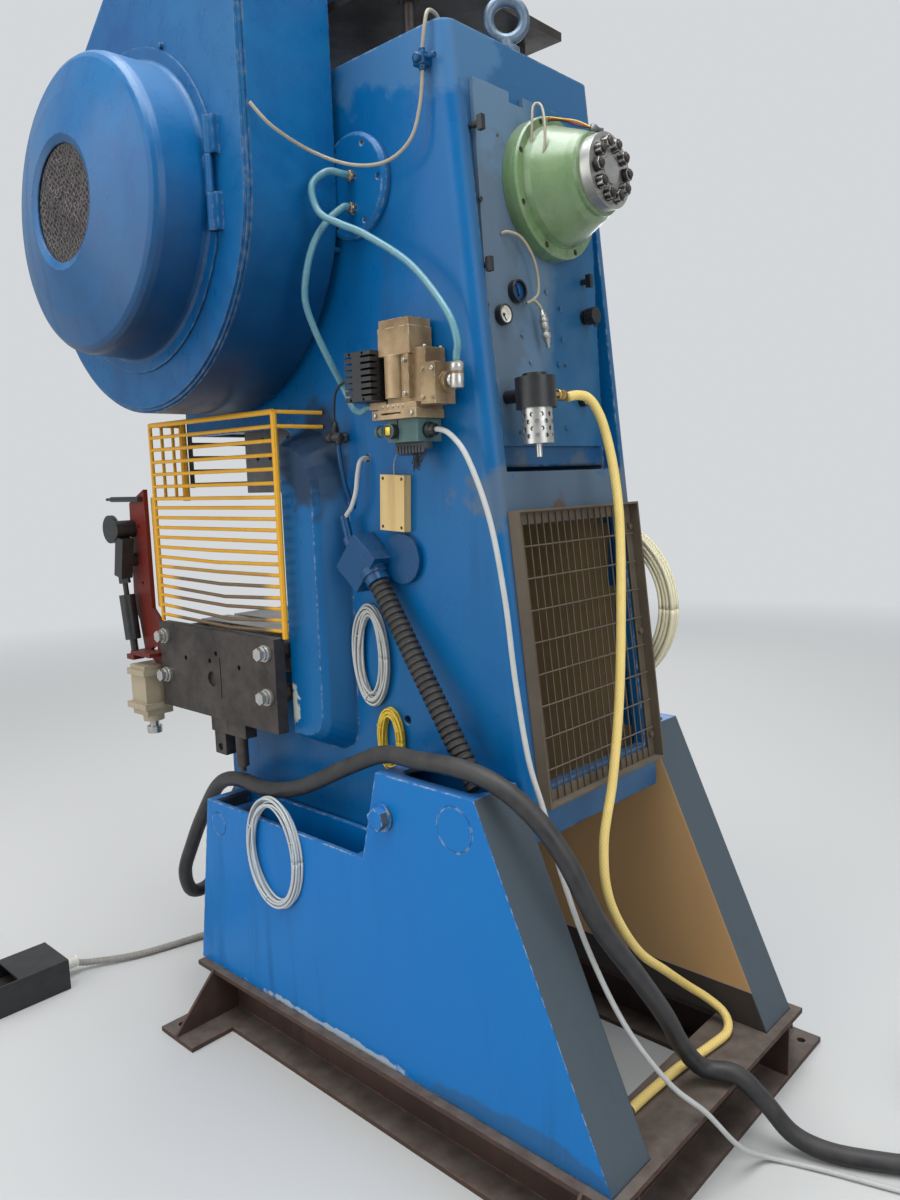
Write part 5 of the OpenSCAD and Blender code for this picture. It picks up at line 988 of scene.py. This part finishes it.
# screws round the green casting's flange, and bolts on washers round its silver end
bell = {"across": -25, "up": 577, "screws": 8, "screwCircle": 0.143, "screwOut": 0.0386, "bolts": 10,
    "boltCircle": 0.056, "boltOut": 188.2}
for k in range(bell["screws"]):
    at = onWall(bell["across"], 0, bell["up"]) + aroundWall(math.radians(360 / bell["screws"] * k + 22),
        bell["screwCircle"])
    addTurned(holes, [(0, 0), (5.6, 0), (5.6, 9), (4.8, 10), (3, 10), (3, 6), (0, 6)],
        at + wallOut * bell["screwOut"], wallOut, 18)
holes.piece("panelHoles", "darkSteel", slot="dark_steel")
capBolts = Heap()
for k in range(bell["bolts"]):
    at = onWall(bell["across"], bell["boltOut"], bell["up"]) + aroundWall(2 * math.pi * k / bell["bolts"],
        bell["boltCircle"])
    addTurned(capBolts, [(0, 0), (15, 0), (15, 1.6), (0, 1.6)], at, wallOut, 24)
    addHex(capBolts, 24.6, 15.6, at, wallOut)
    addTurned(capBolts, [(0, 15), (8, 15.2), (8, 19), (7, 20), (0, 20)], at, wallOut, 20)
capBolts.piece("flangeBolts", "darkSteel", slot="dark_steel")
connector = Heap()
along = onWall(34, 40, 214) - onWall(50, 40, 300)
addTurned(connector, [(0, 0), (5, 0), (5, 8), (8, 9), (8, 20), (6.5, 21), (6.5, 26), (9.5, 28), (9.5, 44), (7, 45),
    (7, 50), (10.5, 52), (10.5, 62), (7.5, 64), (7.5, 72), (5, 75), (5, 84), (0, 86)], onWall(50, 40, 302), along, 20)
addHex(connector, 19, 9, onWall(46.5, 40, 284), along)
connector.piece("quickConnector", "silverSteel", slot="fastener_steel")
topFit = Heap()
addTurned(topFit, [(0, 0), (8, 0), (8, 22), (10, 23), (10, 34), (6, 36), (6, 44), (0, 44)], onWall(-58, 150, 640),
    wallUp, 18)
addTurned(topFit, [(0, 0), (7, 0), (7, 24), (9, 25), (9, 36), (0, 38)], onWall(-58, 150, 678), (1, 0, 0), 18)
topFit.piece("bellTopFitting", "castGrey", slot="cast_grey")
for name, finish, shift in [("bellWireRed", "leadRed", 0), ("bellWireYellow", "leadYellow", 5),
        ("bellWireBlack", "blackRubber", -5)]:
    wire = Heap()
    addTube(wire, wallRoute((10, 13, 716 + shift), (4, 40, 724 + shift), (-6, 84 + shift, 712),
        (-14, 120, 694 + shift), (-20, 146 + shift * 0.3, 680)), 3.2, 6.0, 8)
    wire.piece(name, finish, slot="line_teal")
brassPieces = Heap()
headAxis = (-1, 0, 0)
addHex(brassPieces, 26.6, 20.4, onWall(110, 92, 104), headAxis)
addTurned(brassPieces, [(8.8, 20), (8.8, 27.7), (12.3, 27.7), (12.3, 31), (11.4, 32), (12.3, 33), (12.3, 37),
    (11.4, 38), (12.3, 39), (12.3, 52.3), (8.8, 52.3), (8.8, 45.2)], onWall(110, 92, 104), headAxis, 28)
for z in (2236, 2166):
    addHex(brassPieces, 22.6, 12.3, mm(287.2, -66, z), (1, 0, 0))
brassPieces.piece("brassFittings", "brass", slot="bronze")
print("rear panel dressed")


def woundHank(name, centre, radii, band, thick, turns, finish, seed, wild):
    # loops of cord laid over one another: each turn is the outline of the hank with its own size, shift and ripple
    rng = np.random.default_rng(seed)
    heap = Heap()
    x, y, z = centre
    ry, rz = radii
    t = np.linspace(0, 2 * math.pi, 73)[:-1]
    r = thick / 2
    lanes = max(1, int((band - thick) / thick) + 1)
    for k in range(turns):
        lane, layer = k % lanes, k // lanes
        inset = r + (band - thick) * (lane / max(1, lanes - 1) if lanes > 1 else 0.5) + 0.4
        deep = r + 0.3 + layer * thick * 0.92 + (0.3 if lane % 2 else 0)
        ripple = wild * rng.random() * np.sin(2 * t + 6 * rng.random()) + 0.5 * wild * rng.random() * np.sin(3 * t
            + 6 * rng.random())
        across, up = wild * (rng.random(2) - 0.5)
        line = np.stack([np.full_like(t, x) + deep, y + across + (ry - inset + ripple) * np.cos(t),
            z + up + (rz - inset + ripple) * np.sin(t)], 1)
        ring = np.concatenate([line, line[:1]]) / 1000.0
        heap.add(*tubeArrays(ring, r / 1000.0, 10)[:2])
    for angle in (0.4, 2.7, 4.4):
        cy, cz = y + (ry - band / 2) * math.cos(angle), z + (rz - band / 2) * math.sin(angle)
        out = np.array([0, math.cos(angle) / ry, math.sin(angle) / rz])
        out /= np.linalg.norm(out)
        loop = [np.array([x, cy, cz]) + (10 + 10.6 * math.cos(a)) * np.array([1.0, 0,
            0]) + out * (band / 2 + 1.2) * math.sin(a) for a in np.linspace(0, 2 * math.pi, 17)]
        heap.add(*tubeArrays(np.array(loop) / 1000.0, 0.0012, 6)[:2])
    return heap.piece(name, finish, slot="cable_grey")


# the put away hanks in millimetres: how wild sets how far each turn strays from an even ring
hanks = {
    "hankUpper": {"centre": (267.2, -83, 1118), "radii": (62, 128), "band": 30, "thick": 6.6, "turns": 12,
        "finish": "cableGrey", "seed": 3, "wild": 4.5},
    "hankMiddle": {"centre": (267.2, -24, 915), "radii": (46, 78), "band": 22, "thick": 4.4, "turns": 20,
        "finish": "leadYellow", "seed": 5, "wild": 3.0},
    "hankLow": {"centre": (417.2, -330, 590), "radii": (110, 150), "band": 26, "thick": 6.6, "turns": 9,
        "finish": "cableSilver", "seed": 9, "wild": 7.0}}
hankPieces = {name: woundHank(name, **hank) for name, hank in hanks.items()}
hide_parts("cable_hanks")

# the clear tube's ring on the far side: loops side by side in layers, each a little off its place
ringShape = {"side": -267.2, "centre": (212, 1200), "loops": 12, "lanes": 4, "inner": 191, "pitch": 10.6, "first": 7,
    "layer": 14.0, "radius": 0.0052, "sway": 1.2, "stray": 0.6}
coilLoops = Heap()
turn = np.linspace(0, 2 * math.pi, 97)
rng = np.random.default_rng(21)
for k in range(ringShape["loops"]):
    lane, layer = k % ringShape["lanes"], k // ringShape["lanes"]
    r = ringShape["inner"] + ringShape["pitch"] * lane + ringShape["stray"] * rng.standard_normal()
    x = ringShape["side"] - ringShape["first"] - ringShape["layer"] * layer - ringShape["sway"] * np.sin(2 * turn + k)
    loop = np.stack([x, ringShape["centre"][0] + r * np.cos(turn), ringShape["centre"][1] + r * np.sin(turn)],
        1) / 1000.0
    coilLoops.add(*tubeArrays(loop, ringShape["radius"], 10)[:2])
tubeRing = coilLoops.piece("tubeLoops", "tubeClear", slot="tube_clear")
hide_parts("tube_coil")

# the net in the dome's hole, in millimetres: the hole's middle and radius, the net's back, its points and its folds
net = {"centre": (-593, 2210), "radius": 130.4, "back": 704.8, "front": 704.3, "rows": 90, "columns": 220,
    "waves": 16, "fold": 3.4, "bulge": 3.0}


def crumpledNet():
    # a disc of folds: height is a sum of ridged waves in changing directions, calm at the rim, on rings and spokes
    rng = np.random.default_rng(11)
    rows, cols = net["rows"], net["columns"]
    radius = np.linspace(0.0, 1.0, rows)[:, None]
    angle = (np.arange(cols) * 2 * math.pi / cols)[None, :]
    u, v = radius * np.cos(angle), radius * np.sin(angle)
    height = np.zeros((rows, cols))
    for k in range(net["waves"]):
        way, size, shift = rng.random() * math.pi, 2.2 + 1.1 * k, rng.random() * 6.3
        bend = 0.35 * np.sin(2.1 * (u * math.sin(way) - v * math.cos(way)) * size * 0.4 + shift)
        height += (1.0 - np.abs(np.sin((u * math.cos(way) + v * math.sin(way) + bend) * size + shift))) / (1.0
            + 0.55 * k)
    height = (height - height.mean()) / height.std()
    calm = np.clip((1.0 - radius) / 0.12, 0, 1)
    front = 12.0 + net["fold"] * np.clip(height, -2.2, 2.2) * calm + net["bulge"] * (1 - radius ** 2)
    r = net["radius"] * radius
    face = np.stack([net["front"] + np.clip(front, 1.0, 21.5), net["centre"][0] + r * np.cos(angle),
        net["centre"][1] + r * np.sin(angle)], -1).reshape(-1, 3) / 1000.0
    back = face.copy()
    back[:, 0] = net["back"] / 1000.0
    quads = gridFaces(rows, cols)
    count = rows * cols
    rim = np.arange((rows - 1) * cols, rows * cols)
    following = np.roll(rim, -1)
    side = np.stack([rim, rim + count, following + count, following], 1)
    return np.concatenate([face, back]), quads.tolist() + (quads[:, ::-1] + count).tolist() + side.tolist()


netPoints, netFaces = crumpledNet()
netPiece = makePiece("crumpledNet", netPoints, netFaces, "netThreads", body="door", slot="net_brown")
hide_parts("net_filling")
print("hanks, coil and net wound")

# the pedal's conduit connector: a sleeve over the gland of the box and a ringed nut beyond it
pedalParts = Heap()
addTurned(pedalParts, [(12, -33.6), (18.4, -33.4), (18.4, 9), (15.6, 10), (15.6, 14), (18.4, 15), (18.4, 25),
    (16, 27), (12, 27.6)], mm(606.2, -1226, 40), (-1, 0, 0))
pedalParts.piece("pedalConnector", "dialWhite", slot="conduit_grey")

# floor, light and backdrop
studio = {"floor": (0.52, 0.52, 0.51, 1), "back": (0.66, 0.68, 0.70, 1), "ambient": 0.42, "fade": (3.0, 9.0),
    "reach": 40.0, "drop": 0.0005}


def makeStage():
    # one wide level floor that fades into the backdrop with distance, and a world that lights softly and shows the
    # camera a pale backdrop
    mesh = bpy.data.meshes.new("studioFloor")
    r, z = studio["reach"], -studio["drop"]
    mesh.from_pydata([(-r, -r, z), (r, -r, z), (r, r, z), (-r, r, z)], [], [(0, 1, 2, 3)])
    floor = bpy.data.objects.new("studioFloor", mesh)
    bpy.context.scene.collection.objects.link(floor)
    tree, shader = startMaterial("paleFloor")
    shader.inputs["Base Color"].default_value = studio["floor"]
    shader.inputs["Roughness"].default_value = 0.85
    at = objectPoint(tree)
    away = vectorMaths(tree, "LENGTH", at, output="Value")
    glow = addNode(tree, "ShaderNodeEmission", None, Color=studio["back"], Strength=1.0)
    fade = addNode(tree, "ShaderNodeMixShader", None, Fac=spread(tree, away, *studio["fade"]), n1=shader.outputs[0],
        n2=glow.outputs[0])
    tree.links.new(fade.outputs[0], tree.nodes["Material Output"].inputs["Surface"])
    mesh.materials.append(finishes["paleFloor"])
    world = bpy.data.worlds.new("softRoom")
    world.use_nodes = True
    bpy.context.scene.world = world
    tree = world.node_tree
    tree.nodes.clear()
    rays = addNode(tree, "ShaderNodeLightPath").outputs
    shown = maths(tree, "MAXIMUM", rays["Is Camera Ray"], rays["Is Transmission Ray"])
    soft = addNode(tree, "ShaderNodeBackground", None, Color=(0.92, 0.96, 1.0, 1), Strength=studio["ambient"])
    back = addNode(tree, "ShaderNodeBackground", None, Color=studio["back"], Strength=1.0)
    pick = addNode(tree, "ShaderNodeMixShader", None, Fac=shown, n1=soft.outputs[0], n2=back.outputs[0])
    addNode(tree, "ShaderNodeOutputWorld", None, Surface=pick.outputs[0])


def areaLight(name, place, target, size, watts, tint):
    data = bpy.data.lights.new(name, "AREA")
    data.shape, data.size, data.energy, data.color = "SQUARE", size, watts, tint
    lamp = bpy.data.objects.new(name, data)
    bpy.context.scene.collection.objects.link(lamp)
    lamp.location = place
    lamp.rotation_mode = "QUATERNION"
    lamp.rotation_quaternion = (Vector(target) - Vector(place)).to_track_quat("-Z", "Y")


makeStage()
lamps = {
    "skylight": {"place": (0.6, 0.2, 6.2), "target": (0.0, -0.1, 1.2), "size": 4.5, "watts": 400.0,
        "tint": (0.96, 0.98, 1.0)},
    "sideWindow": {"place": (5.2, -1.8, 3.0), "target": (0.2, -0.2, 1.2), "size": 5.0, "watts": 140.0,
        "tint": (1.0, 0.99, 0.97)},
    "rearFill": {"place": (1.0, 5.6, 3.2), "target": (0.0, 0.0, 1.1), "size": 3.5, "watts": 95.0,
        "tint": (0.97, 0.98, 1.0)},
    "farFill": {"place": (-5.0, -3.0, 3.4), "target": (0.0, -0.2, 1.2), "size": 3.5, "watts": 80.0,
        "tint": (1.0, 1.0, 1.0)}}
for name, lamp in lamps.items():
    areaLight(name, **lamp)
bpy.context.scene.view_settings.view_transform = "Standard"
print("studio set")
